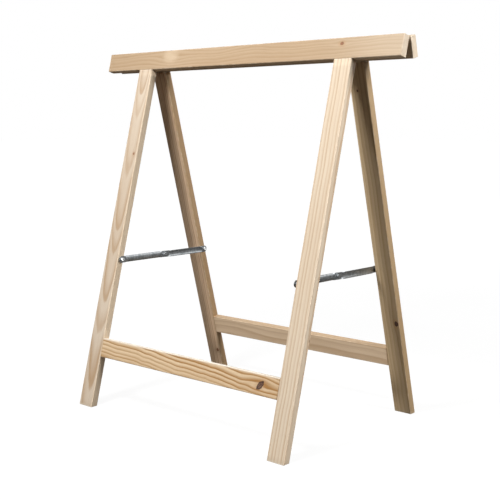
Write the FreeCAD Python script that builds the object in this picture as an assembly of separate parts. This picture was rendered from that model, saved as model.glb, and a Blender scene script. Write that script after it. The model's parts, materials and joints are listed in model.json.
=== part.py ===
"""Folding pine sawhorse: two leg frames hinged along the top and held open by two folding stays.

Millimetres. +X runs along the rails, -Y is the front frame's side, +Z is up. The origin is on the
floor, under the middle of the hinge line. The model stands open, with the stays straight.

Each leg frame is drawn hanging straight down from the hinge line, as in the closed sawhorse, and is
then swung out about that line. The stays are drawn where they lie in the open sawhorse.
"""
import FreeCAD, Part
import math
import os

from FreeCAD import Vector

# Driving dimensions: whole sawhorse
HEIGHT = 750.0               # floor to the highest line of the rails' outer top edges
RAIL_LENGTH = 780.0
SPLAY = 14.6                 # angle of each frame from upright when open, degrees
MEMBER_WIDTH = 40.0          # face width of every rail, leg and stretcher
MEMBER_THICKNESS = 16.0
LEG_OVERHANG = 105.0         # rail end to the leg's outer side
STRETCHER_TOP = 627.0        # rail's top to the stretcher's top, along the frame
EASED_EDGE = 1.8             # radius on the long edges
EASED_END = 0.6              # radius round the rails' ends

# Hinge line and hinges
GAP_TO_MIDDLE = 1.5          # closed: from the rail's inner face to the middle plane
AXIS_ABOVE_RAIL = 1.9        # hinge line above the rails' top faces
HINGE_LENGTH = 50.0
HINGE_CENTRE = 265.0         # each hinge stands over a leg
LEAF_THICKNESS = 1.0
LEAF_REACH = 12.0            # hinge line to the leaf's outer edge
BARREL_RADIUS = 2.0
HINGE_PIN_RADIUS = 1.0
HINGE_PIN_FIT = 0.06         # radial clearance in the rear leaf's knuckles
HINGE_PIN_END = 0.6          # pin end standing out past the knuckles
KNUCKLES = 5                 # three on the front leaf, two on the rear
KNUCKLE_GAP = 0.3
NOTCH_CLEARANCE = 0.35       # leaf edge to the other leaf's knuckles
HINGE_SCREW_SPACING = 18.0
HINGE_SCREW_REACH = 7.4      # hinge line to the screws
HINGE_SCREW_LENGTH = 16.0
HINGE_SCREW_RADIUS = 1.5
HINGE_SCREW_HEAD_RADIUS = 2.7
HINGE_SCREW_TIP = 4.0

# Dowels
DOWEL_RADIUS = 3.0
DOWEL_LENGTH = 30.0
DOWEL_GLUE_GAP = 0.05
DOWEL_END_GAP = 1.0
DOWEL_SPACING = 20.0
DOWEL_CHAMFER = 0.6

# Folding stays
STAY_PIVOT_DOWN = 456.0      # rail's top to the stay pivots, along the frame
STAY_WIDTH = 14.0
STAY_DEPTH = 4.0             # channel depth, outside
STAY_STEEL = 1.0
STAY_FLAT_END = 9.0          # pivot centre to the start of the channel's flanges
STAY_FLANGE_RUNOUT = 6.0     # length over which a flange rises to its full depth
INNER_ARM_WEB = 3.8          # leg's side face to the near side of the inner arm's web
ARM_GAP = 0.3                # between the two webs, and under each screw head
STAY_SCREW_RADIUS = 2.2
STAY_SCREW_FIT = 0.08        # radial clearance of the arms on their screws
STAY_SCREW_BITE = 24.0       # length of screw in the leg
STAY_SCREW_TIP = 5.0
STAY_SCREW_HEAD_RADIUS = 4.2
STAY_SCREW_HEAD_HEIGHT = 2.4
SPACER_RADIUS = 4.0
RIVET_RADIUS = 2.0
RIVET_HEAD_RADIUS = 3.8
RIVET_HEAD_HEIGHT = 1.2
RECESS_WIDTH = 0.7           # slots of the cross recess in a screw head
HINGE_SCREW_RECESS = 3.2     # length of those slots
STAY_SCREW_RECESS = 4.4
RECESS_DEPTH = 0.9
SCREW_POINT_SHARE = 0.2      # radius of a screw's blunt point, as a share of its shank's

# Making
LEG_STOCK_LENGTH = 1.1 * HEIGHT     # rail's top to a leg's end, before the foot is cut level
ROOM_REACH = 2 * HEIGHT      # size of the space above the floor that the feet are cut with
PARALLEL = 0.999             # cosine from which an edge runs along a direction
NEAR = 0.01                  # places closer than this are the same
EITHER_SIDE = (-0.5, 0.5)    # steps to the two dowels of a joint, in spacings

# Worked out from them
SPLAY_RAD = math.radians(SPLAY)
OUTER_FACE = GAP_TO_MIDDLE + MEMBER_THICKNESS
EDGE_CENTRE_OUT = OUTER_FACE - EASED_EDGE
EDGE_CENTRE_DOWN = AXIS_ABOVE_RAIL + EASED_EDGE
RAIL_CREST = EDGE_CENTRE_OUT * math.sin(SPLAY_RAD) - EDGE_CENTRE_DOWN * math.cos(SPLAY_RAD) + EASED_EDGE
AXIS_HEIGHT = HEIGHT - RAIL_CREST
LEG_OUTER_X = RAIL_LENGTH / 2 - LEG_OVERHANG
LEG_INNER_X = LEG_OUTER_X - MEMBER_WIDTH
LEG_MIDDLE_X = (LEG_OUTER_X + LEG_INNER_X) / 2
MEMBER_MIDDLE = GAP_TO_MIDDLE + MEMBER_THICKNESS / 2
PIVOT_DROP = STAY_PIVOT_DOWN + AXIS_ABOVE_RAIL
PIVOT_Y = PIVOT_DROP * math.sin(SPLAY_RAD) + MEMBER_MIDDLE * math.cos(SPLAY_RAD)
PIVOT_Z = AXIS_HEIGHT - PIVOT_DROP * math.cos(SPLAY_RAD) + MEMBER_MIDDLE * math.sin(SPLAY_RAD)
ARM_LENGTH = PIVOT_Y         # each arm reaches the middle plane
OUTER_ARM_WEB = INNER_ARM_WEB + STAY_STEEL + ARM_GAP
FOLD = 2 * SPLAY             # how far the rear frame swings to close
ARM_TURN = 90 - SPLAY - math.degrees(math.asin(MEMBER_MIDDLE / ARM_LENGTH))

FRONT = -1
REAR = 1
SIDE_NAMES = {FRONT: "front", REAR: "rear"}
LEFT = -1
RIGHT = 1
END_NAMES = {LEFT: "left", RIGHT: "right"}
LONG_X = Vector(1, 0, 0)
LONG_Y = Vector(0, 1, 0)
LONG_Z = Vector(0, 0, 1)
ORIGIN = Vector(0, 0, 0)


def export(shape, node):
    """Write one node as STEP."""
    shape.exportStep("parts/" + node + ".step")


def box_between(low, high):
    """Return the box with these lowest and highest corners."""
    size = high - low
    return Part.makeBox(size.x, size.y, size.z, low)


def box_from_spans(x_span, y_span, z_span):
    """Return a box from pairs of limits, given in either order."""
    spans = [sorted(span) for span in (x_span, y_span, z_span)]
    low = Vector(*[span[0] for span in spans])
    high = Vector(*[span[1] for span in spans])
    return box_between(low, high)


def edges_along(shape, direction):
    """Return the straight edges of a box that run along a direction."""
    found = []
    for edge in shape.Edges:
        run = edge.Vertexes[1].Point - edge.Vertexes[0].Point
        if abs(run.normalize().dot(direction)) > PARALLEL:
            found.append(edge)
    return found


def end_edges(board, half_length):
    """Return the edges round both ends of a board that is centred along X."""
    return [edge for edge in board.Edges if abs(abs(edge.CenterOfMass.x) - half_length) < NEAR]


def swing_out(shape, side):
    """Take a piece from the closed, hanging pose to its place in the open sawhorse."""
    placed = shape.copy()
    placed.rotate(ORIGIN, LONG_X, side * SPLAY)
    placed.translate(Vector(0, 0, AXIS_HEIGHT))
    return placed


def frame_board(side, x_span, down_span, long_axis):
    """Return a board of one frame in the hanging pose, with its long edges eased."""
    y_span = (side * GAP_TO_MIDDLE, side * OUTER_FACE)
    z_span = [-AXIS_ABOVE_RAIL - down for down in down_span]
    board = box_from_spans(x_span, y_span, z_span)
    return board.makeFillet(EASED_EDGE, edges_along(board, long_axis))


def dowel(centre, direction):
    """Return a chamfered dowel about its middle, and the hole that it is glued in."""
    start = centre - direction * (DOWEL_LENGTH / 2)
    peg = Part.makeCylinder(DOWEL_RADIUS, DOWEL_LENGTH, start, direction)
    peg = peg.makeChamfer(DOWEL_CHAMFER, round_edges(peg))
    hole_start = start - direction * DOWEL_END_GAP
    hole_length = DOWEL_LENGTH + 2 * DOWEL_END_GAP
    hole = Part.makeCylinder(DOWEL_RADIUS + DOWEL_GLUE_GAP, hole_length, hole_start, direction)
    return peg, hole


def round_edges(shape):
    """Return the circular edges of a shape."""
    return [edge for edge in shape.Edges if isinstance(edge.Curve, Part.Circle)]


def cross_recess(slot_length):
    """Return the cross-shaped cut in the top of a screw head, below z = 0."""
    half_long = slot_length / 2
    half_wide = RECESS_WIDTH / 2
    first = box_from_spans((-half_long, half_long), (-half_wide, half_wide), (-RECESS_DEPTH, RECESS_DEPTH))
    second = box_from_spans((-half_wide, half_wide), (-half_long, half_long), (-RECESS_DEPTH, RECESS_DEPTH))
    return first.fuse(second)


def screw_shank(radius, start, end, tip):
    """Return a shank down the -Z axis from start to end, the last stretch a blunt point."""
    straight = Part.makeCylinder(radius, start - end - tip, Vector(0, 0, end + tip))
    point = Part.makeCone(radius * SCREW_POINT_SHARE, radius, tip, Vector(0, 0, end))
    return straight.fuse(point)


def countersunk_screw():
    """Return a wood screw with its flat head's top at z = 0, without and with its recess."""
    head_depth = HINGE_SCREW_HEAD_RADIUS - HINGE_SCREW_RADIUS
    head = Part.makeCone(HINGE_SCREW_RADIUS, HINGE_SCREW_HEAD_RADIUS, head_depth,
                         Vector(0, 0, -head_depth))
    shank = screw_shank(HINGE_SCREW_RADIUS, -head_depth, -HINGE_SCREW_LENGTH, HINGE_SCREW_TIP)
    plain = head.fuse(shank).removeSplitter()
    return plain, plain.cut(cross_recess(HINGE_SCREW_RECESS))


def hinge_screws(side):
    """Return one frame's hinge screws in the hanging pose: the envelopes and the screws."""
    envelopes = []
    screws = []
    top = -AXIS_ABOVE_RAIL + LEAF_THICKNESS
    for end in (LEFT, RIGHT):
        for step in (-1, 0, 1):
            x = end * HINGE_CENTRE + step * HINGE_SCREW_SPACING
            for made, shape in zip((envelopes, screws), countersunk_screw()):
                shape.translate(Vector(x, side * HINGE_SCREW_REACH, top))
                made.append(shape)
    return envelopes, screws


def knuckle_spans(centre, own):
    """Return the X spans of one leaf's knuckles: own is 0 for the front leaf, 1 for the rear."""
    pitch = HINGE_LENGTH / KNUCKLES
    start = centre - HINGE_LENGTH / 2
    half_gap = KNUCKLE_GAP / 2
    spans = []
    for index in range(own, KNUCKLES, 2):
        spans.append((start + index * pitch + half_gap, start + (index + 1) * pitch - half_gap))
    return spans


def hinge_leaf(side, centre, envelopes):
    """Return a leaf lying on its rail's top face in the hanging pose, with its knuckles."""
    own = 0 if side == FRONT else 1
    bottom = -AXIS_ABOVE_RAIL
    z_span = (bottom, bottom + LEAF_THICKNESS)
    x_span = (centre - HINGE_LENGTH / 2, centre + HINGE_LENGTH / 2)
    notch = BARREL_RADIUS + NOTCH_CLEARANCE
    leaf = box_from_spans(x_span, (side * notch, side * LEAF_REACH), z_span)
    for span in knuckle_spans(centre, own):
        root = box_from_spans(span, (0, side * notch), z_span)
        barrel = Part.makeCylinder(BARREL_RADIUS, span[1] - span[0], Vector(span[0], 0, 0), LONG_X)
        leaf = leaf.fuse([root, barrel])
    fit = HINGE_PIN_FIT if side == REAR else 0
    bore = Part.makeCylinder(HINGE_PIN_RADIUS + fit, HINGE_LENGTH, Vector(x_span[0], 0, 0), LONG_X)
    return leaf.removeSplitter().cut([bore] + envelopes)


def hinge_pin(centre):
    """Return a hinge pin on the hinge line, with chamfered ends."""
    length = HINGE_LENGTH + 2 * HINGE_PIN_END
    pin = Part.makeCylinder(HINGE_PIN_RADIUS, length, Vector(centre - length / 2, 0, 0), LONG_X)
    pin = pin.makeChamfer(HINGE_PIN_END / 2, round_edges(pin))
    pin.translate(Vector(0, 0, AXIS_HEIGHT))
    return pin


def stay_point(end, reach, y=0.0, z=0.0):
    """Return a point of a stay: reach is its distance from the leg's side face."""
    return Vector(end * (LEG_INNER_X - reach), y, z)


def stay_disc(end, near, far, radius, y):
    """Return a cylinder square to a stay, between two distances from the leg's side face."""
    away = Vector(-end, 0, 0)
    return Part.makeCylinder(radius, far - near, stay_point(end, near, y, PIVOT_Z), away)


def stay_arm(end, side, is_inner):
    """Return an arm: a pressed channel with flat round ends, from its leg to the middle."""
    web = INNER_ARM_WEB if is_inner else OUTER_ARM_WEB
    web_far = web + STAY_STEEL
    rim = web_far - STAY_DEPTH if is_inner else web + STAY_DEPTH
    lip = web if is_inner else web_far
    half = STAY_WIDTH / 2
    pivot = side * ARM_LENGTH
    strip = box_from_spans((end * (LEG_INNER_X - web), end * (LEG_INNER_X - web_far)), (0, pivot),
                           (PIVOT_Z - half, PIVOT_Z + half))
    ends = [stay_disc(end, web, web_far, half, y) for y in (0, pivot)]
    outline = [(lip, STAY_FLAT_END), (rim, STAY_FLAT_END + STAY_FLANGE_RUNOUT),
               (rim, ARM_LENGTH - STAY_FLAT_END - STAY_FLANGE_RUNOUT), (lip, ARM_LENGTH - STAY_FLAT_END)]
    flanges = []
    for low, high in ((-half, STAY_STEEL - half), (half - STAY_STEEL, half)):
        corners = [stay_point(end, reach, side * along, PIVOT_Z + low) for reach, along in outline]
        face = Part.Face(Part.makePolygon(corners + corners[:1]))
        flanges.append(face.extrude(Vector(0, 0, high - low)))
    arm = strip.fuse(ends + flanges).removeSplitter()
    pivot_hole = stay_disc(end, web, web_far, STAY_SCREW_RADIUS + STAY_SCREW_FIT, pivot)
    rivet_hole = stay_disc(end, web, web_far, RIVET_RADIUS, 0)
    return arm.cut([pivot_hole, rivet_hole])


def stay_rivet(end, is_inner):
    """Return the half of the middle rivet that is set in one arm, its head in the channel."""
    web = INNER_ARM_WEB if is_inner else OUTER_ARM_WEB
    web_far = web + STAY_STEEL
    shank = stay_disc(end, web, web_far, RIVET_RADIUS, 0)
    head_near = web - RIVET_HEAD_HEIGHT if is_inner else web_far
    head = stay_disc(end, head_near, head_near + RIVET_HEAD_HEIGHT, RIVET_HEAD_RADIUS, 0)
    outer_x = end * (LEG_INNER_X - (head_near if is_inner else head_near + RIVET_HEAD_HEIGHT))
    rim = [edge for edge in round_edges(head) if abs(edge.CenterOfMass.x - outer_x) < NEAR]
    head = head.makeFillet(RIVET_HEAD_HEIGHT / 2, rim)
    return shank.fuse(head).removeSplitter()


def stay_spacer(end, side, is_inner):
    """Return the tube that holds an arm clear of its leg."""
    height = (INNER_ARM_WEB if is_inner else OUTER_ARM_WEB) - ARM_GAP
    tube = stay_disc(end, 0, height, SPACER_RADIUS, side * ARM_LENGTH)
    return tube.cut(stay_disc(end, 0, height, STAY_SCREW_RADIUS, side * ARM_LENGTH))


def stay_screw(end, side, is_inner):
    """Return the pan-head screw that an arm turns on, and the plain shape of its hole."""
    web = INNER_ARM_WEB if is_inner else OUTER_ARM_WEB
    under_head = web + STAY_STEEL + ARM_GAP
    head = Part.makeCylinder(STAY_SCREW_HEAD_RADIUS, STAY_SCREW_HEAD_HEIGHT,
                             Vector(0, 0, -STAY_SCREW_HEAD_HEIGHT))
    rim = [edge for edge in round_edges(head) if abs(edge.CenterOfMass.z) < NEAR]
    head = head.makeFillet(STAY_SCREW_HEAD_HEIGHT / 2, rim)
    top = under_head + STAY_SCREW_HEAD_HEIGHT
    shank = screw_shank(STAY_SCREW_RADIUS, -STAY_SCREW_HEAD_HEIGHT, -top - STAY_SCREW_BITE,
                        STAY_SCREW_TIP)
    screw = head.fuse(shank).removeSplitter().cut(cross_recess(STAY_SCREW_RECESS))
    for shape in (screw, shank):
        shape.rotate(ORIGIN, LONG_Y, -end * 90)
        shape.translate(stay_point(end, top, side * ARM_LENGTH, PIVOT_Z))
    return screw, shank


def inner_arm_is_here(end, side):
    """Return True where the stay's inner arm is: the right stay is the left one turned round."""
    return end * side == LEFT * FRONT


def build_frame(side):
    """Build one leg frame, its dowels and its hinge screws, and return its hinge screw holes."""
    name = SIDE_NAMES[side]
    half_rail = RAIL_LENGTH / 2
    rail = frame_board(side, (-half_rail, half_rail), (0, MEMBER_WIDTH), LONG_X)
    rail = rail.makeFillet(EASED_END, end_edges(rail, half_rail))
    stretcher_span = (STRETCHER_TOP, STRETCHER_TOP + MEMBER_WIDTH)
    stretcher = frame_board(side, (-LEG_INNER_X, LEG_INNER_X), stretcher_span, LONG_X)
    y_middle = side * MEMBER_MIDDLE
    rail_dowels = []
    stretcher_dowels = []
    holes = []
    for end in (LEFT, RIGHT):
        for step in EITHER_SIDE:
            offset = step * DOWEL_SPACING
            up = Vector(end * LEG_MIDDLE_X + offset, y_middle, -AXIS_ABOVE_RAIL - MEMBER_WIDTH)
            across_z = -AXIS_ABOVE_RAIL - STRETCHER_TOP - MEMBER_WIDTH / 2 + offset
            across = Vector(end * LEG_INNER_X, y_middle, across_z)
            for made, centre, axis in ((rail_dowels, up, LONG_Z), (stretcher_dowels, across, LONG_X)):
                peg, hole = dowel(centre, axis)
                made.append(swing_out(peg, side))
                holes.append(hole)
    envelopes, screws = hinge_screws(side)
    export(swing_out(rail.cut(holes + envelopes), side), name + "_rail")
    export(swing_out(stretcher.cut(holes), side), name + "_stretcher")
    export(Part.makeCompound(rail_dowels), name + "_rail_dowels")
    export(Part.makeCompound(stretcher_dowels), name + "_stretcher_dowels")
    export(Part.makeCompound([swing_out(screw, side) for screw in screws]), name + "_hinge_screws")
    spread = (-ROOM_REACH, ROOM_REACH)
    above_floor = box_from_spans(spread, spread, (0, ROOM_REACH))
    for end in (LEFT, RIGHT):
        x_span = (end * LEG_INNER_X, end * LEG_OUTER_X)
        leg = frame_board(side, x_span, (MEMBER_WIDTH, LEG_STOCK_LENGTH), LONG_Z)
        leg = swing_out(leg.cut(holes), side).common(above_floor)
        pilot = stay_screw(end, side, inner_arm_is_here(end, side))[1]
        export(leg.cut(pilot), name + "_" + END_NAMES[end] + "_leg")
    return envelopes


def build_hinges(front_envelopes, rear_envelopes):
    """Build the two butt hinges."""
    for end in (LEFT, RIGHT):
        hinge = "hinge_" + END_NAMES[end]
        centre = end * HINGE_CENTRE
        front_leaf = hinge_leaf(FRONT, centre, front_envelopes)
        rear_leaf = hinge_leaf(REAR, centre, rear_envelopes)
        export(swing_out(front_leaf, FRONT), hinge + "_front_leaf")
        export(swing_out(rear_leaf, REAR), hinge + "_rear_leaf")
        export(hinge_pin(centre), hinge + "_pin")


def build_stays():
    """Build the two folding stays with their screws, spacers and rivet halves."""
    for end in (LEFT, RIGHT):
        for side in (FRONT, REAR):
            is_inner = inner_arm_is_here(end, side)
            stem = "stay_" + END_NAMES[end] + "_" + SIDE_NAMES[side]
            export(stay_arm(end, side, is_inner), stem + "_arm")
            export(stay_screw(end, side, is_inner)[0], stem + "_screw")
            export(stay_spacer(end, side, is_inner), stem + "_spacer")
            export(stay_rivet(end, is_inner), stem + "_rivet")


def main():
    """Build every piece and write it to parts/."""
    os.makedirs("parts", exist_ok=True)
    front_envelopes = build_frame(FRONT)
    rear_envelopes = build_frame(REAR)
    build_hinges(front_envelopes, rear_envelopes)
    build_stays()
    print("hinge line height", round(AXIS_HEIGHT, 3))
    print("stay pivots at y, z", round(PIVOT_Y, 3), round(PIVOT_Z, 3))
    print("frame closes by", FOLD, "degrees while each arm turns by", round(ARM_TURN, 3))


main()
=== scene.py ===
"""The finished look of a folding pine sawhorse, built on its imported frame.

Metres. +X runs along the rails, -Y is the front frame's side, +Z is up, and the floor is z = 0.
Every board, hinge part, stay part and fastener is a new mesh that stands for the frame's plain solid.

Each board is shaped in its own axes: along its length, across its face and through its thickness, with
"through" pointing out of the sawhorse. Its growth rings and knots are worked out in the same axes, so
the grain runs through the wood and meets at the edges and ends as it does in a sawn board.
"""

import json
import logging
import math
from dataclasses import dataclass
from enum import Enum

import bmesh
import bpy
from mathutils import Matrix, Vector, noise


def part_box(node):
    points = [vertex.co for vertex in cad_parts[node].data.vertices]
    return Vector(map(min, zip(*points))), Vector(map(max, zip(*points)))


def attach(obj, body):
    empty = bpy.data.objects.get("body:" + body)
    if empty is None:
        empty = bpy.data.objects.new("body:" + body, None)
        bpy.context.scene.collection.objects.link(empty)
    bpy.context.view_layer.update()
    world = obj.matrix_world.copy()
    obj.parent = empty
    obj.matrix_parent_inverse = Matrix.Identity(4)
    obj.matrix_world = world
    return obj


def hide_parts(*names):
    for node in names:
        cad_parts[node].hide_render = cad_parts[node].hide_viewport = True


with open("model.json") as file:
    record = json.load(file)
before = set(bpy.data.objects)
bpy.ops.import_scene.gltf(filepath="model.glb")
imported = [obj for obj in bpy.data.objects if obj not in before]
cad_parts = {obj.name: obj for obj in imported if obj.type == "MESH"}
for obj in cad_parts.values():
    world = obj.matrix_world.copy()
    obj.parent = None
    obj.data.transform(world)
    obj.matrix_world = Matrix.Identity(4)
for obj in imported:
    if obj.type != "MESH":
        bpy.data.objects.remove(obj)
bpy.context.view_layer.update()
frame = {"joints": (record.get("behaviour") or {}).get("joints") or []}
LOG = logging.getLogger("sawhorse")

MM = 0.001
AXIS_X = Vector((1.0, 0.0, 0.0))
AXIS_Z = Vector((0.0, 0.0, 1.0))
FULL_TURN = 2 * math.pi
QUARTER_TURN = math.pi / 2
SHARP_ANGLE = math.radians(50.0)    # between two faces, from which their edge is rounded
SAME_PLACE = 1e-7       # metres within which two places are one
FLOOR_MARGIN = 1e-6     # metres within which a vertex lies on the floor's plane
SQUARE_ON = 0.99        # least share of a face's normal along the board for it to be an end
SCREW_TWIST = 0.7       # how much further each screw of a leaf is turned than the one before, in radians

Colour = tuple[float, float, float, float]
Source = bpy.types.NodeSocket | float | tuple[float, ...]


class Side(Enum):
    """The two leg frames."""

    FRONT = -1
    REAR = 1

    @property
    def word(self) -> str:
        """The side's word in node names."""
        return self.name.lower()

    @property
    def body(self) -> str:
        """The body that this leg frame is."""
        return f"{self.word}_frame"


class End(Enum):
    """The two ends of the sawhorse."""

    LEFT = -1
    RIGHT = 1

    @property
    def word(self) -> str:
        """The end's word in node names."""
        return self.name.lower()


class KnotKind(Enum):
    """What shows of a knot."""

    LIVE = "live"
    DEAD = "dead"
    BURIED = "buried"


class Slot(Enum):
    """The record's material slots."""

    PINE = "pine"
    BEECH = "dowel_beech"
    HINGE = "hinge_steel"
    SCREW = "screw_zinc"
    STAY = "stay_zinc"


@dataclass(frozen=True)
class Layout:
    """Places and sizes that the frame gives."""

    rail_length: float
    leg_inner_x: float
    leg_outer_x: float
    axis_height: float
    splay: float
    pivot_y: float
    pivot_z: float

    @classmethod
    def from_frame(cls) -> "Layout":
        """Read the layout from the frame's nodes and its fold joint."""
        rail_low, rail_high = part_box("front_rail")
        leg_low, leg_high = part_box("front_right_leg")
        pin_low, pin_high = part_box("hinge_left_pin")
        pivot_low, pivot_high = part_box("stay_left_rear_spacer")
        fold = next(joint for joint in frame["joints"] if joint["name"] == "fold")
        return cls(
            rail_length=rail_high.x - rail_low.x,
            leg_inner_x=leg_low.x,
            leg_outer_x=leg_high.x,
            axis_height=(pin_low.z + pin_high.z) / 2,
            splay=math.radians(max(fold["range_deg"])) / 2,
            pivot_y=(pivot_low.y + pivot_high.y) / 2,
            pivot_z=(pivot_low.z + pivot_high.z) / 2,
        )

    @property
    def leg_middle_x(self) -> float:
        """Distance of a leg's centre line from the middle of the rail."""
        return (self.leg_inner_x + self.leg_outer_x) / 2

    @property
    def member_width(self) -> float:
        """Face width of every board."""
        return self.leg_outer_x - self.leg_inner_x

    def swing_out(self, side: Side) -> Matrix:
        """Return the matrix from the closed, hanging pose to the open one.

        Args:
            side: The leg frame that is swung.

        Returns:
            The matrix, about the hinge line at its real height.
        """
        turn = Matrix.Rotation(side.value * self.splay, 4, "X")
        return Matrix.Translation((0.0, 0.0, self.axis_height)) @ turn


# ---------------------------------------------------------------------------------------------------
# Meshes


def cut_ring(bm: bmesh.types.BMesh, points: list[tuple[float, float]], z: float) -> list:
    """Add a closed outline of straight edges at one height.

    Args:
        bm: The mesh that takes the outline.
        points: The outline's corners, in order.
        z: Its height.

    Returns:
        The new edges.
    """
    verts = [bm.verts.new((x, y, z)) for x, y in points]
    return [bm.edges.new((verts[index - 1], vert)) for index, vert in enumerate(verts)]


def circle_points(radius: float, count: int, centre: tuple[float, float] = (0.0, 0.0)) -> list:
    """Return points evenly round a circle.

    Args:
        radius: The circle's radius.
        count: How many points.
        centre: The circle's centre.

    Returns:
        The points, as (x, y) pairs.
    """
    angles = [FULL_TURN * index / count for index in range(count)]
    return [(centre[0] + radius * math.cos(a), centre[1] + radius * math.sin(a)) for a in angles]


def turned(bm: bmesh.types.BMesh, profile: list[tuple[float, float]], steps: int) -> None:
    """Spin a line of (radius, height) points right round the Z axis.

    Args:
        bm: The mesh that takes the turned surface.
        profile: The outline, from its first end to its last.
        steps: Faces round the axis.
    """
    verts = [bm.verts.new((radius, 0.0, z)) for radius, z in profile]
    edges = [bm.edges.new(pair) for pair in zip(verts, verts[1:])]
    bmesh.ops.spin(bm, geom=verts + edges, cent=(0, 0, 0), axis=AXIS_Z, angle=FULL_TURN, steps=steps,
                   use_merge=True)
    bmesh.ops.remove_doubles(bm, verts=bm.verts, dist=SAME_PLACE)


def arc(centre: tuple[float, float], radius: float, start: float, end: float, count: int) -> list:
    """Return points along an arc of a profile.

    Args:
        centre: The arc's centre.
        radius: Its radius.
        start: Its first angle, in radians.
        end: Its last angle.
        count: How many steps it takes.

    Returns:
        The points, both ends among them.
    """
    angles = [start + (end - start) * step / count for step in range(count + 1)]
    return [(centre[0] + radius * math.cos(a), centre[1] + radius * math.sin(a)) for a in angles]


def of_kind(items: list, kind: type) -> list:
    """Return the vertices, edges or faces among an operator's results."""
    return [item for item in items if isinstance(item, kind)]


def round_off(bm: bmesh.types.BMesh, geometry: list, reach: float, segments: int,
              affect: str = "EDGES") -> None:
    """Bevel some edges or corners of a mesh.

    Args:
        bm: The mesh.
        geometry: The edges or vertices.
        reach: How far the bevel reaches from them.
        segments: Faces across it.
        affect: Whether it is EDGES or VERTICES that are bevelled.
    """
    bmesh.ops.bevel(bm, geom=geometry, offset=reach, offset_type="OFFSET", segments=segments,
                    profile=0.5, affect=affect, clamp_overlap=affect == "EDGES", material=-1)


def soften(bm: bmesh.types.BMesh, radius: float) -> None:
    """Round every edge of a closed mesh that is sharper than SHARP_ANGLE.

    Args:
        bm: The mesh.
        radius: How far the rounding reaches from the edge.
    """
    edges = [edge for edge in bm.edges if edge.is_manifold and edge.calc_face_angle() > SHARP_ANGLE]
    round_off(bm, edges, radius, 2)


@dataclass
class Piece:
    """One finished piece of the sawhorse."""

    node: str
    body: str
    slot: Slot
    material: bpy.types.Material

    def publish(self, bm: bmesh.types.BMesh, place: Matrix | None = None) -> bpy.types.Object:
        """Turn a shaped mesh into the piece that stands for its node.

        Args:
            bm: The shaped mesh, which this frees.
            place: Where the mesh goes, if it isn't in place yet.

        Returns:
            The new object.
        """
        if place is not None:
            bmesh.ops.transform(bm, matrix=place, verts=bm.verts)
        bmesh.ops.recalc_face_normals(bm, faces=bm.faces)
        mesh = bpy.data.meshes.new(f"{self.node}_finished")
        bm.to_mesh(mesh)
        bm.free()
        mesh.shade_smooth()
        mesh.materials.append(self.material)
        made = bpy.data.objects.new(f"{self.node}_finished", mesh)
        bpy.context.scene.collection.objects.link(made)
        weighted = made.modifiers.new("even_shading", "WEIGHTED_NORMAL")
        weighted.keep_sharp = True
        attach(made, self.body)
        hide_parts(self.node)
        LOG.info("%s rides on %s, %d faces", made.name, self.body, len(mesh.polygons))
        return made


# ---------------------------------------------------------------------------------------------------
# Nodes


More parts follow.
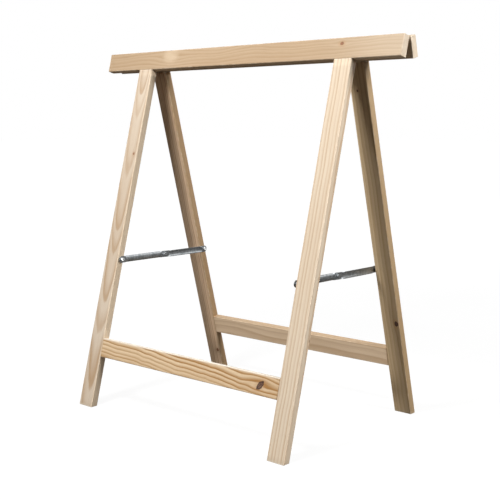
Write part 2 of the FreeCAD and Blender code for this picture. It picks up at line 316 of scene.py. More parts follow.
class Wiring:
    """Adds nodes to one node tree and joins them."""

    def __init__(self, tree: bpy.types.NodeTree) -> None:
        """Work on a tree."""
        self.tree = tree

    def feed(self, socket: bpy.types.NodeSocket, source: Source) -> None:
        """Join a socket to another one, or set its value.

        Args:
            socket: The input that is fed.
            source: An output socket, or the value itself.
        """
        if isinstance(source, bpy.types.NodeSocket):
            self.tree.links.new(source, socket)
        else:
            socket.default_value = source

    def node(self, kind: str, inputs: dict | None = None, **settings: object) -> bpy.types.Node:
        """Add a node.

        Args:
            kind: The node's type.
            inputs: What feeds its inputs, by their name or place.
            **settings: The node's own options, set before its inputs are fed.

        Returns:
            The new node.
        """
        made = self.tree.nodes.new(kind)
        for name, value in settings.items():
            setattr(made, name, value)
        for key, source in (inputs or {}).items():
            self.feed(made.inputs[key], source)
        return made

    def math(self, operation: str, *terms: Source) -> bpy.types.NodeSocket:
        """Add a Math node.

        Args:
            operation: What it does.
            *terms: Its inputs in order.

        Returns:
            Its output.
        """
        return self.node("ShaderNodeMath", dict(enumerate(terms)), operation=operation).outputs[0]

    def plus(self, *terms: Source) -> bpy.types.NodeSocket:
        """Return the sum of two or more terms."""
        total = terms[0]
        for term in terms[1:]:
            total = self.math("ADD", total, term)
        return total

    def less(self, first: Source, second: Source) -> bpy.types.NodeSocket:
        """Return the first number less the second."""
        return self.math("SUBTRACT", first, second)

    def times(self, first: Source, second: Source) -> bpy.types.NodeSocket:
        """Return the product of two numbers."""
        return self.math("MULTIPLY", first, second)

    def over(self, first: Source, second: Source) -> bpy.types.NodeSocket:
        """Return the first number divided by the second."""
        return self.math("DIVIDE", first, second)

    def scaled(self, value: Source, factor: Source, added: Source) -> bpy.types.NodeSocket:
        """Return a number times a factor, with another number added."""
        return self.math("MULTIPLY_ADD", value, factor, added)

    def about_zero(self, noise_value: Source, reach: Source) -> bpy.types.NodeSocket:
        """Return a noise value moved to swing evenly round zero, times a reach."""
        return self.times(self.less(noise_value, 0.5), reach)

    def wave(self, angle: Source) -> bpy.types.NodeSocket:
        """Return the sine of an angle, brought to between 0 and 1."""
        return self.scaled(self.math("SINE", angle), 0.5, 0.5)

    def channels(self, source: bpy.types.Node) -> bpy.types.bpy_prop_collection:
        """Return the three channels of a node's colour."""
        return self.node("ShaderNodeSeparateColor", {0: source.outputs["Color"]}).outputs

    def vector(self, x: Source, y: Source, z: Source) -> bpy.types.NodeSocket:
        """Return a vector made of three numbers."""
        return self.node("ShaderNodeCombineXYZ", {0: x, 1: y, 2: z}).outputs[0]

    def length(self, x: Source, y: Source, z: Source = 0.0) -> bpy.types.NodeSocket:
        """Return the length of the vector that three numbers make."""
        made = self.node("ShaderNodeVectorMath", {0: self.vector(x, y, z)}, operation="LENGTH")
        return made.outputs["Value"]

    def rise(self, value: Source, low: Source, high: Source, start: float = 0.0,
             end: float = 1.0) -> bpy.types.NodeSocket:
        """Return a smooth step.

        Args:
            value: What is looked at.
            low: The value at which the step begins.
            high: The value at which it ends.
            start: The result below the step.
            end: The result above it.

        Returns:
            The result's socket.
        """
        inputs = {"Value": value, "From Min": low, "From Max": high, "To Min": start, "To Max": end}
        return self.node("ShaderNodeMapRange", inputs, interpolation_type="SMOOTHSTEP").outputs[0]

    def fall(self, value: Source, low: Source, high: Source) -> bpy.types.NodeSocket:
        """Return a smooth step down, from 1 below the low value to 0 above the high one."""
        return self.rise(value, low, high, 1.0, 0.0)

    def cloud(self, vector: Source, scale: Source = 1.0, detail: float = 2.0,
              roughness: float = 0.5) -> bpy.types.Node:
        """Return a noise texture.

        Args:
            vector: Where it is read.
            scale: Its scale.
            detail: Its octaves.
            roughness: How strong the finer octaves are.

        Returns:
            The noise node.
        """
        inputs = {"Vector": vector, "Scale": scale, "Detail": detail, "Roughness": roughness}
        return self.node("ShaderNodeTexNoise", inputs)

    def mix(self, factor: Source, first: Source, second: Source,
            blend: str = "MIX") -> bpy.types.NodeSocket:
        """Mix two colours.

        Args:
            factor: Share of the second colour.
            first: The first colour.
            second: The second colour.
            blend: How they are mixed.

        Returns:
            The mixed colour.
        """
        inputs = {0: factor, 6: first, 7: second}
        made = self.node("ShaderNodeMix", inputs, data_type="RGBA", blend_type=blend)
        return made.outputs[2]

    def curve(self, value: Source, stops: tuple[tuple[float, float], ...]) -> bpy.types.NodeSocket:
        """Read a number off a line through some points.

        Args:
            value: What is looked up, from 0 to 1.
            stops: Pairs of place and grey level, in order.

        Returns:
            The number.
        """
        made = self.node("ShaderNodeValToRGB", {0: value})
        elements = made.color_ramp.elements
        while len(elements) < len(stops):
            elements.new(1.0)
        for element, (place, level) in zip(elements, stops):
            element.position = place
            element.color = (level, level, level, 1.0)
        return made.outputs[0]

    def bump(self, height: Source, distance: float, strength: float) -> bpy.types.NodeSocket:
        """Return a bumped normal.

        Args:
            height: The height, from 0 to 1.
            distance: What a height of 1 is, in metres.
            strength: Its share that shows.

        Returns:
            The normal.
        """
        inputs = {"Height": height, "Distance": distance, "Strength": strength}
        return self.node("ShaderNodeBump", inputs).outputs[0]


class Effect:
    """A shader node group of numbers, built once and placed in each material that needs it."""

    def __init__(self, name: str, inputs: dict[str, float], outputs: tuple[str, ...]) -> None:
        """Make the empty group.

        Args:
            name: The group's name.
            inputs: Its inputs' names and usual values.
            outputs: Its outputs' names.
        """
        self.tree = bpy.data.node_groups.new(name, "ShaderNodeTree")
        for label, value in inputs.items():
            socket = self.tree.interface.new_socket(label, in_out="INPUT", socket_type="NodeSocketFloat")
            socket.default_value = value
        for label in outputs:
            self.tree.interface.new_socket(label, in_out="OUTPUT", socket_type="NodeSocketFloat")
        self.wiring = Wiring(self.tree)
        self.given = self.wiring.node("NodeGroupInput").outputs
        self.result = self.wiring.node("NodeGroupOutput").inputs

    def give(self, label: str, source: Source) -> None:
        """Feed one of the group's outputs."""
        self.wiring.feed(self.result[label], source)

    def place(self, wiring: Wiring, inputs: dict[str, Source]) -> bpy.types.bpy_prop_collection:
        """Place the group in a material.

        Args:
            wiring: The material's wiring.
            inputs: What feeds the group's inputs.

        Returns:
            The placed group's outputs.
        """
        return wiring.node("ShaderNodeGroup", inputs, node_tree=self.tree).outputs


BOARD_AXES = {"Along": 0.0, "Across": 0.0, "Through": 0.0}


@dataclass(frozen=True)
class GrowthRings:
    """The growth rings, fibres and slow colour drift of a sawn board, with scales per metre."""

    wander: float = 5.0
    ripple_along: float = 15.0
    ripple_across: float = 9.0
    ragged_along: float = 9.0
    ragged_across: float = 90.0
    ragged_reach: float = 1.6 * MM
    uneven: float = 110.0
    uneven_reach: float = 6.0 * MM
    faintest_year: float = 0.5
    year_range: float = 0.55
    heart_fade: float = 6.0 * MM
    season: tuple[tuple[float, float], ...] = ((0.0, 0.04), (0.3, 0.14), (0.6, 0.62), (0.78, 1.0),
                                               (0.9, 0.9), (1.0, 0.04))
    specks: tuple[tuple[str, float, float, float], ...] = (
        ("Fibre", 22.0, 1500.0, 4.0), ("Streak", 5.0, 260.0, 2.0), ("Drift", 4.0, 22.0, 1.0),
        ("Duct", 90.0, 1900.0, 1.0))

    def build(self) -> Effect:
        """Return the node group."""
        inputs = {**BOARD_AXES, "Pith across": 0.0, "Pith depth": -0.03, "Lean": 0.0, "Dive": 0.0,
                  "Wave": 0.003, "Ripple": 0.001, "Ring width": 0.002, "Heart radius": 0.0, "Seed": 0.0}
        effect = Effect("growth_rings", inputs, ("Ring", "Heart", *(speck[0] for speck in self.specks)))
        w, given = effect.wiring, effect.given
        along, across, through = (given[axis] for axis in BOARD_AXES)
        seed = given["Seed"]

        ripple = w.cloud(w.vector(w.times(along, self.ripple_along),
                                  w.times(across, self.ripple_across), seed)).outputs[0]
        across = w.plus(across, w.about_zero(ripple, given["Ripple"]))
        # The pith leans and wanders along the board, which draws the tongues on a flat-sawn face.
        wander = w.channels(w.cloud(w.vector(w.times(along, self.wander), seed, 0.0), detail=1.0))
        offsets = []
        for coordinate, start, slope, channel in ((across, "Pith across", "Lean", 0),
                                                  (through, "Pith depth", "Dive", 1)):
            swing = w.about_zero(wander[channel], given["Wave"])
            offsets.append(w.less(coordinate, w.plus(given[start], w.times(along, given[slope]), swing)))
        distance = w.length(*offsets)
        ragged = w.cloud(w.vector(w.times(along, self.ragged_along), w.times(across, self.ragged_across),
                                  w.times(through, self.ragged_across)), detail=3.0).outputs[0]
        uneven = w.cloud(w.vector(w.times(distance, self.uneven), seed, 3.0), detail=1.0).outputs[0]
        grown = w.plus(distance, w.times(ragged, self.ragged_reach), w.times(uneven, self.uneven_reach))

        years = w.over(grown, given["Ring width"])
        year = w.plus(w.math("FLOOR", years), seed)
        strength = w.node("ShaderNodeTexWhiteNoise", {"W": year}, noise_dimensions="1D").outputs["Value"]
        strength = w.scaled(strength, self.year_range, self.faintest_year)
        effect.give("Ring", w.times(w.curve(w.math("FRACT", years), self.season), strength))
        effect.give("Heart", w.fall(w.less(grown, given["Heart radius"]), 0.0, self.heart_fade))
        for label, stretch, density, detail in self.specks:
            point = w.vector(w.scaled(along, stretch, seed), w.times(across, density),
                             w.times(through, density))
            effect.give(label, w.cloud(point, detail=detail).outputs[0])
        return effect


@dataclass(frozen=True)
class KnotFigure:
    """A knot that runs through a board, and the way that the grain bends round it.

    Distances are in the knot's own radii.
    """

    rough_scale: float = 170.0
    rough_reach: float = 0.75
    checks: float = 3.0
    check_width: tuple[float, float] = (0.955, 0.995)
    check_reach: tuple[float, float] = (0.55, 0.9)
    bend_along: float = 5.5
    bend_across: float = 2.2
    bend: float = 0.92
    heart: tuple[float, float] = (0.86, 1.04)
    rim_at: float = 0.97
    rim: tuple[float, float] = (0.02, 0.17)
    halo: tuple[float, float] = (0.9, 2.8)
    ring_spread: float = 0.8
    ring_count: float = 14.0

    def build(self) -> Effect:
        """Return the node group."""
        inputs = {**BOARD_AXES, "At along": 0.0, "At across": 0.0, "Slant": 0.0, "Radius": 0.004,
                  "Stretch": 1.3, "Tilt": 0.0}
        effect = Effect("knot", inputs, ("Across", "Heart", "Rim", "Halo", "Rings", "Check"))
        w, given = effect.wiring, effect.given
        along, across, through = (given[axis] for axis in BOARD_AXES)
        radius, tilt = given["Radius"], given["Tilt"]
        rough = w.channels(w.cloud(w.vector(along, across, through), self.rough_scale, 1.0))
        sideways = w.less(across, w.scaled(given["Slant"], through, given["At across"]))
        lengthways = w.less(along, given["At along"])
        sine, cosine = w.math("SINE", tilt), w.math("COSINE", tilt)
        major = w.plus(w.times(lengthways, cosine), w.times(sideways, sine))
        minor = w.less(w.times(sideways, cosine), w.times(lengthways, sine))
        outline = [w.plus(value, w.about_zero(rough[channel], w.times(radius, self.rough_reach)))
                   for value, channel in ((w.over(major, given["Stretch"]), 0), (minor, 1))]
        apart = w.over(w.length(*outline), radius)

        spokes = w.wave(w.times(w.math("ARCTAN2", *outline), self.checks))
        check = w.rise(spokes, *self.check_width)
        effect.give("Check", w.times(check, w.fall(apart, *self.check_reach)))
        reach = w.length(w.over(lengthways, w.times(radius, self.bend_along)),
                         w.over(sideways, w.times(radius, self.bend_across)))
        pull = w.math("EXPONENT", w.times(w.times(reach, reach), -1.0))
        effect.give("Across", w.plus(across, w.times(pull, w.times(sideways, -self.bend))))
        effect.give("Heart", w.fall(apart, *self.heart))
        effect.give("Rim", w.fall(w.math("ABSOLUTE", w.less(apart, self.rim_at)), *self.rim))
        effect.give("Halo", w.fall(apart, *self.halo))
        effect.give("Rings", w.wave(w.times(w.math("POWER", apart, self.ring_spread), self.ring_count)))
        return effect


@dataclass(frozen=True)
class BoardWear:
    """Masks for a board's rubbed long edges (partly painted highlight), its scuffed ends or painted
    joint shade, and its dusty foot.
    """

    broken: float = 85.0
    broken_reach: float = 5.2 * MM
    edge: tuple[float, float] = (1.8 * MM, 4.6 * MM)
    end: tuple[float, float] = (1.2 * MM, 5.2 * MM)
    foot: tuple[float, float] = (2.0 * MM, 16.0 * MM)

    def build(self) -> Effect:
        """Return the node group."""
        inputs = {**BOARD_AXES, "Height": 1.0, "Half length": 0.4, "Half width": 0.02,
                  "Half thickness": 0.008}
        effect = Effect("board_wear", inputs, ("Edge", "End", "Foot"))
        w, given = effect.wiring, effect.given
        cloud = w.cloud(w.vector(*(given[axis] for axis in BOARD_AXES)), self.broken, 4.0).outputs[0]
        broken = w.times(cloud, self.broken_reach)
        to_end, to_side, to_face = (
            w.less(given[half], w.math("ABSOLUTE", given[axis]))
            for axis, half in zip(BOARD_AXES, ("Half length", "Half width", "Half thickness")))
        to_edge = w.math("MAXIMUM", to_side, to_face)
        for label, gap, reach in (("Edge", to_edge, self.edge), ("End", to_end, self.end),
                                  ("Foot", given["Height"], self.foot)):
            effect.give(label, w.fall(w.plus(gap, broken), *reach))
        return effect


@dataclass(frozen=True)
class Plating:
    """The cloudy spangles and fine scratches of plated steel, with scales per metre."""

    cloud: float = 160.0
    spangle: float = 420.0
    scratch: float = 120.0
    drawn_out: float = 14.0
    scratch_edge: tuple[float, float] = (0.44, 0.62)

    def build(self) -> Effect:
        """Return the node group."""
        inputs = {"X": 0.0, "Y": 0.0, "Z": 0.0, "Scale": 1.0}
        effect = Effect("plating", inputs, ("Cloud", "Spangle", "Scratch"))
        w, given = effect.wiring, effect.given
        x, y, z, scale = (given[label] for label in inputs)
        point = w.vector(x, y, z)
        effect.give("Cloud", w.cloud(point, w.times(scale, self.cloud), 4.0).outputs[0])
        cells = w.node("ShaderNodeTexVoronoi", {"Vector": point, "Scale": w.times(scale, self.spangle)})
        effect.give("Spangle", w.channels(cells)[0])
        drawn = w.vector(w.times(x, self.drawn_out), y, w.times(z, self.drawn_out))
        scratch = w.cloud(drawn, w.times(scale, self.scratch), 5.0).outputs[0]
        effect.give("Scratch", w.rise(scratch, *self.scratch_edge))
        return effect


class Effects:
    """The node groups that the finishes share, built once."""

    def __init__(self) -> None:
        """Build every group."""
        self.figure = GrowthRings().build()
        self.knot = KnotFigure().build()
        self.wear = BoardWear().build()
        self.plating = Plating().build()


# ---------------------------------------------------------------------------------------------------
# Finishes


def rgb(red: float, green: float, blue: float) -> Colour:
    """Return an opaque colour."""
    return (red, green, blue, 1.0)


@dataclass(frozen=True)
class WoodLook:
    """What every pine and beech board shares: how strongly each mark tints, roughens and dents it."""

    streak: float = 0.5
    fibre: float = 0.5
    duct: float = 0.4
    duct_edge: tuple[float, float] = (0.66, 0.76)
    drift: float = 0.22
    drift_edge: tuple[float, float] = (0.3, 0.7)
    heart: float = 0.55
    paler_from: float = 0.25
    tint_edge: tuple[float, float] = (0.40, 0.49)
    rubbed: float = 0.42
    scuffed: float = 0.5
    dusty: float = 0.35
    buried_halo: float = 0.4
    knot_halo: float = 0.3
    knot_heart: float = 0.92
    dead_rim: float = 0.9
    live_rim: float = 0.35
    roughness: float = 0.46
    streak_roughness: float = 0.22
    rubbed_roughness: float = -0.08
    fibre_relief: float = 0.8
    ring_relief: float = 0.5
    duct_relief: float = -0.5
    relief_height: float = 0.22 * MM
    relief_strength: float = 0.65
    specular: float = 0.28


LOOK = WoodLook()


@dataclass(frozen=True)
class Knot:
    """One knot, by its place on the face in the board's own axes and its outline."""

    along: float
    across: float
    radius: float
    kind: KnotKind = KnotKind.LIVE
    slant: float = 0.15
    stretch: float = 1.3
    tilt: float = 0.0

    def tint(self, w: Wiring, colour: Source, outputs: bpy.types.bpy_prop_collection) -> Source:
        """Lay the knot's colours over the wood.

        Args:
            w: The material's wiring.
            colour: The wood's colour.
            outputs: The placed knot group's outputs.

        Returns:
            The colour with the knot in it.
        """
        if self.kind is KnotKind.BURIED:
            return w.mix(w.times(outputs["Halo"], LOOK.buried_halo), colour, CURL_CREAM_AND_LIGHT)
        is_dead = self.kind is KnotKind.DEAD
        colour = w.mix(w.times(outputs["Halo"], LOOK.knot_halo), colour, KNOT_HALO)
        heart = w.mix(outputs["Rings"], DEAD_HEART if is_dead else LIVE_HEART,
                      DEAD_RING if is_dead else LIVE_RING)
        colour = w.mix(w.times(outputs["Heart"], LOOK.knot_heart), colour, heart)
        colour = w.mix(outputs["Check"], colour, KNOT_BARK)
        rim = w.times(outputs["Rim"], LOOK.dead_rim if is_dead else LOOK.live_rim)
        return w.mix(rim, colour, KNOT_BARK)


@dataclass(frozen=True)
class EdgeTint:
    """Painted light (a paler tint) or painted shade (a darker tint) along one narrow face of a board.

    The side is 1 for the face that the board's "across" axis points to, and -1 for the other one.
    """

    colour: Colour
    share: float
    side: int


@dataclass(frozen=True)
class WoodFinish:
    """How one board was cut from its tree, the colour of its wood, and the light and shade painted on
    it.
    """

    early: Colour
    late: Colour
    pith_across: float = 0.0
    pith_depth: float = -0.05
    lean: float = 0.0
    dive: float = 0.0
    wave: float = 0.006
    ripple: float = 0.003
    ring_width: float = 0.0022
    contrast: float = 0.7
    heart_radius: float = -1.0
    paler_end: float = 0.0
    is_butted: bool = False
    seed: float = 0.0
    edge_tint: EdgeTint | None = None
    knots: tuple[Knot, ...] = ()

    def material(self, name: str, board: "Board", effects: Effects) -> bpy.types.Material:
        """Build the board's material.

        Args:
            name: The material's name.
            board: The board that wears it, whose axes the grain follows.
            effects: The shared node groups.

        Returns:
            The material.
        """
        made, w, shader = new_material(name)
        place = w.node("ShaderNodeTexCoord").outputs["Object"]
        turned_in = {"Vector": place, "Location": board.centre, "Rotation": board.basis.to_euler("XYZ")}
        local = w.node("ShaderNodeMapping", turned_in, vector_type="TEXTURE").outputs[0]
        axes = dict(zip(BOARD_AXES, w.node("ShaderNodeSeparateXYZ", {0: local}).outputs))
        height = w.node("ShaderNodeSeparateXYZ", {0: place}).outputs[2]

        placed = []
        bent = axes["Across"]
        for knot in self.knots:
            outputs = effects.knot.place(w, {
                **axes, "Across": bent, "At along": knot.along, "At across": knot.across,
                "Slant": knot.slant, "Radius": knot.radius, "Stretch": knot.stretch, "Tilt": knot.tilt})
            bent = outputs["Across"]
            placed.append((knot, outputs))
        figure = effects.figure.place(w, {
            **axes, "Across": bent, "Pith across": self.pith_across, "Pith depth": self.pith_depth,
            "Lean": self.lean, "Dive": self.dive, "Wave": self.wave, "Ripple": self.ripple,
            "Ring width": self.ring_width, "Heart radius": self.heart_radius, "Seed": self.seed})
        wear = effects.wear.place(w, {
            **axes, "Height": height, "Half length": board.length / 2, "Half width": board.width / 2,
            "Half thickness": board.thickness / 2})
        ducts = w.rise(figure["Duct"], *LOOK.duct_edge)

        colour = self._bare_colour(w, board, axes, figure, ducts)
        for knot, outputs in placed:
            colour = knot.tint(w, colour, outputs)
        # Butted stretcher ends get painted joint shade. Other ends get paler end grain.
        ends = JOINT_SHADE if self.is_butted else END_GRAIN
        # Long edges: rubbed wear that is partly a painted highlight. Feet: floor dust.
        for label, share, tint in (("Edge", LOOK.rubbed, WEAR_AND_LIGHT_CREAM), ("End", LOOK.scuffed, ends),
                                   ("Foot", LOOK.dusty, FLOOR_DUST)):
            colour = w.mix(w.times(wear[label], share), colour, tint)
        w.feed(shader.inputs["Base Color"], colour)
        rough = w.scaled(figure["Streak"], LOOK.streak_roughness, LOOK.roughness)
        w.feed(shader.inputs["Roughness"], w.scaled(wear["Edge"], LOOK.rubbed_roughness, rough))
        relief = w.scaled(figure["Fibre"], LOOK.fibre_relief, w.times(figure["Ring"], LOOK.ring_relief))
        relief = w.scaled(ducts, LOOK.duct_relief, relief)
        w.feed(shader.inputs["Normal"], w.bump(relief, LOOK.relief_height, LOOK.relief_strength))
        shader.inputs["Specular IOR Level"].default_value = LOOK.specular
        return made

    def _bare_colour(self, w: Wiring, board: "Board", axes: dict[str, bpy.types.NodeSocket],
                     figure: bpy.types.bpy_prop_collection, ducts: Source) -> bpy.types.NodeSocket:
        """Return the wood's colour, with its painted face light and shade, before its knots, its wear
        and its painted edge and joint shading.

        Args:
            w: The material's wiring.
            board: The board that wears it.
            axes: The board's own coordinates.
            figure: The placed growth rings' outputs.
            ducts: Where the resin ducts are.

        Returns:
            The colour.
        """
        tone = w.times(figure["Ring"], self.contrast)
        tone = w.plus(tone, w.about_zero(figure["Streak"], LOOK.streak))
        tone = w.plus(tone, w.about_zero(figure["Fibre"], LOOK.fibre))
        colour = w.mix(w.scaled(ducts, LOOK.duct, tone), self.early, self.late)
        drift = w.rise(figure["Drift"], *LOOK.drift_edge)
        colour = w.mix(w.times(drift, LOOK.drift), colour, self.late)
        colour = w.mix(w.times(figure["Heart"], LOOK.heart), colour, HEARTWOOD_AND_SHADE)
        # Paler towards the +along end: painted light on the rails' right ends.
        to_end = w.rise(axes["Along"], LOOK.paler_from * board.length, board.length / 2)
        colour = w.mix(w.times(to_end, self.paler_end), colour, WEAR_AND_LIGHT_CREAM)
        # Painted light or painted shade on one narrow face, for how light falls on that face.
        if self.edge_tint is None:
            return colour
        to_edge = w.rise(w.times(axes["Across"], self.edge_tint.side / board.width), *LOOK.tint_edge)
        return w.mix(w.times(to_edge, self.edge_tint.share), colour, self.edge_tint.colour)


@dataclass(frozen=True)
class MetalFinish:
    """Plated steel: its bright and dull tones and how rough it is."""

    name: str
    bright: Colour
    dull: Colour
    roughness: float
    scale: float = 1.0
    cloud_edge: tuple[float, float] = (0.3, 0.75)
    spangle: float = 0.45
    dulling: float = 0.7
    scratch_roughness: float = 0.12
    cloud_roughness: float = 0.14
    scratch_relief: float = 0.5
    relief_height: float = 0.03 * MM
    relief_strength: float = 0.4
    metallic: float = 0.92

    def material(self, effects: Effects) -> bpy.types.Material:
        """Return the material, built the first time that it is asked for.

        Args:
            effects: The shared node groups.

        Returns:
            The material.
        """
        if self.name in bpy.data.materials:
            return bpy.data.materials[self.name]
        made, w, shader = new_material(self.name)
        place = w.node("ShaderNodeTexCoord").outputs["Object"]
        x, y, z = w.node("ShaderNodeSeparateXYZ", {0: place}).outputs
        plating = effects.plating.place(w, {"X": x, "Y": y, "Z": z, "Scale": self.scale})
        tone = w.scaled(plating["Spangle"], self.spangle, w.rise(plating["Cloud"], *self.cloud_edge))
        colour = w.mix(w.times(tone, self.dulling), self.bright, self.dull)
        w.feed(shader.inputs["Base Color"], colour)
        rough = w.scaled(plating["Scratch"], self.scratch_roughness, self.roughness)
        w.feed(shader.inputs["Roughness"], w.scaled(plating["Cloud"], self.cloud_roughness, rough))
        relief = w.scaled(plating["Scratch"], self.scratch_relief, plating["Spangle"])
        w.feed(shader.inputs["Normal"], w.bump(relief, self.relief_height, self.relief_strength))
        shader.inputs["Metallic"].default_value = self.metallic
        return made


def cleared(owner: bpy.types.Material | bpy.types.World) -> Wiring:
    """Return the wiring of a material's or world's emptied node tree."""
    owner.use_nodes = True
    owner.node_tree.nodes.clear()
    return Wiring(owner.node_tree)


def new_material(name: str) -> tuple[bpy.types.Material, Wiring, bpy.types.Node]:
    """Start a material.

    Args:
        name: The material's name.

    Returns:
        The material, its wiring and its Principled shader.
    """
    made = bpy.data.materials.new(name)
    w = cleared(made)
    shader = w.node("ShaderNodeBsdfPrincipled")
    w.node("ShaderNodeOutputMaterial", {"Surface": shader.outputs[0]})
    return made, w, shader


WHITE = rgb(1.0, 1.0, 1.0)
# Pale cream for rubbed edges that are partly a painted highlight, and for painted light on the rails'
# right ends.
WEAR_AND_LIGHT_CREAM = rgb(0.88, 0.76, 0.60)
END_GRAIN = rgb(0.98, 0.87, 0.72)
JOINT_SHADE = rgb(0.40, 0.26, 0.13)
# Heartwood colour, also used as painted shade on some narrow faces.
HEARTWOOD_AND_SHADE = rgb(0.40, 0.25, 0.12)
# Pale colour of the painted light on the front stretcher's top face.
PAINTED_LIGHT_CREAM = rgb(0.98, 0.90, 0.78)
# Pale curl colour round buried knots, also used as painted light on one leg's side face.
CURL_CREAM_AND_LIGHT = rgb(0.82, 0.66, 0.47)
FLOOR_DUST = rgb(0.52, 0.42, 0.30)
KNOT_HALO = rgb(0.50, 0.24, 0.10)
LIVE_RING = rgb(0.24, 0.10, 0.05)
DEAD_RING = rgb(0.20, 0.10, 0.07)
LIVE_HEART = rgb(0.34, 0.15, 0.07)
DEAD_HEART = rgb(0.035, 0.016, 0.014)
KNOT_BARK = rgb(0.05, 0.025, 0.018)

STAY_ZINC = MetalFinish("stay_blue_zinc", rgb(0.52, 0.54, 0.56), rgb(0.22, 0.245, 0.255), 0.27)
HINGE_ZINC = MetalFinish("hinge_zinc", rgb(0.66, 0.66, 0.64), rgb(0.45, 0.45, 0.43), 0.26, scale=1.3)
SCREW_ZINC = MetalFinish("screw_zinc", rgb(0.50, 0.49, 0.46), rgb(0.28, 0.28, 0.27), 0.30, scale=1.8)

FINISHES = {
    "front_rail": WoodFinish(
        rgb(0.56, 0.41, 0.265), rgb(0.40, 0.25, 0.13), pith_across=0.05, pith_depth=-0.075, lean=0.01,
        dive=0.008, wave=0.012, ring_width=0.0034, contrast=0.5, paler_end=0.26, seed=3.1,
        knots=(Knot(0.2584, 0.0072, 0.0032), Knot(-0.192, 0.004, 0.0085, KnotKind.BURIED, slant=0.6))),
    "rear_rail": WoodFinish(
        rgb(0.64, 0.48, 0.31), rgb(0.46, 0.28, 0.14), pith_across=-0.04, pith_depth=-0.05, lean=-0.01,
        dive=0.012, wave=0.010, ring_width=0.0040, contrast=0.6, paler_end=0.35, seed=8.4,
        knots=(Knot(-0.121, -0.006, 0.0042), Knot(0.305, 0.009, 0.0026, KnotKind.DEAD))),
    "front_left_leg": WoodFinish(
        rgb(0.76, 0.64, 0.505), rgb(0.51, 0.34, 0.20), pith_across=0.002, pith_depth=-0.034, lean=0.006,
        dive=-0.056, wave=0.015, ring_width=0.0048, contrast=0.9, seed=1.7,
        # Paler +X side face: painted light.
        edge_tint=EdgeTint(CURL_CREAM_AND_LIGHT, 0.6, 1), knots=(Knot(-0.18, 0.009, 0.0022),)),
    "front_right_leg": WoodFinish(
        rgb(0.83, 0.70, 0.54), rgb(0.60, 0.41, 0.25), pith_across=-0.058, pith_depth=-0.030, lean=-0.006,
        dive=0.010, wave=0.006, ring_width=0.0062, contrast=0.8, seed=5.9),
    "rear_left_leg": WoodFinish(
        rgb(0.95, 0.71, 0.49), rgb(0.58, 0.35, 0.19), pith_across=-0.045, pith_depth=-0.012, lean=0.008,
        dive=-0.01, wave=0.006, ring_width=0.0058, contrast=0.9, heart_radius=0.027, seed=12.3,
        # Darker +X side face: painted shade.
        edge_tint=EdgeTint(HEARTWOOD_AND_SHADE, 0.8, -1),
        knots=(Knot(0.3086, -0.0105, 0.0032),)),
    "rear_right_leg": WoodFinish(
        rgb(0.70, 0.53, 0.33), rgb(0.44, 0.28, 0.13), pith_across=-0.035, pith_depth=0.045, lean=0.006,
        dive=0.014, wave=0.007, ring_width=0.0045, contrast=0.75, seed=15.2,
        # Darker +X side face: painted shade.
        edge_tint=EdgeTint(HEARTWOOD_AND_SHADE, 0.45, -1),
        knots=(Knot(0.161, -0.0125, 0.0040, KnotKind.DEAD),
               Knot(-0.3127, 0.0052, 0.0016, KnotKind.DEAD))),
    "front_stretcher": WoodFinish(
        rgb(0.86, 0.66, 0.43), rgb(0.42, 0.21, 0.065), pith_across=0.075, pith_depth=-0.030, lean=-0.075,
        dive=0.010, wave=0.012, ripple=0.010, ring_width=0.0076, contrast=1.15, is_butted=True,
        # Paler top face: painted light.
        seed=21.6, edge_tint=EdgeTint(PAINTED_LIGHT_CREAM, 0.9, 1),
        knots=(Knot(0.202, -0.0020, 0.0054, KnotKind.DEAD, stretch=1.8, tilt=0.8),)),
    "rear_stretcher": WoodFinish(
        rgb(0.82, 0.63, 0.44), rgb(0.52, 0.34, 0.19), pith_across=0.02, pith_depth=0.06, lean=-0.006,
        dive=0.01, wave=0.010, ring_width=0.0042, contrast=0.65, is_butted=True, seed=27.5,
        # Darker top face: painted shade.
        edge_tint=EdgeTint(HEARTWOOD_AND_SHADE, 0.4, -1)),
}
BEECH = WoodFinish(rgb(0.62, 0.40, 0.22), rgb(0.46, 0.27, 0.14), pith_across=0.02, pith_depth=-0.02,
                   ring_width=0.0014, contrast=0.35, wave=0.001)


# ---------------------------------------------------------------------------------------------------
# Boards


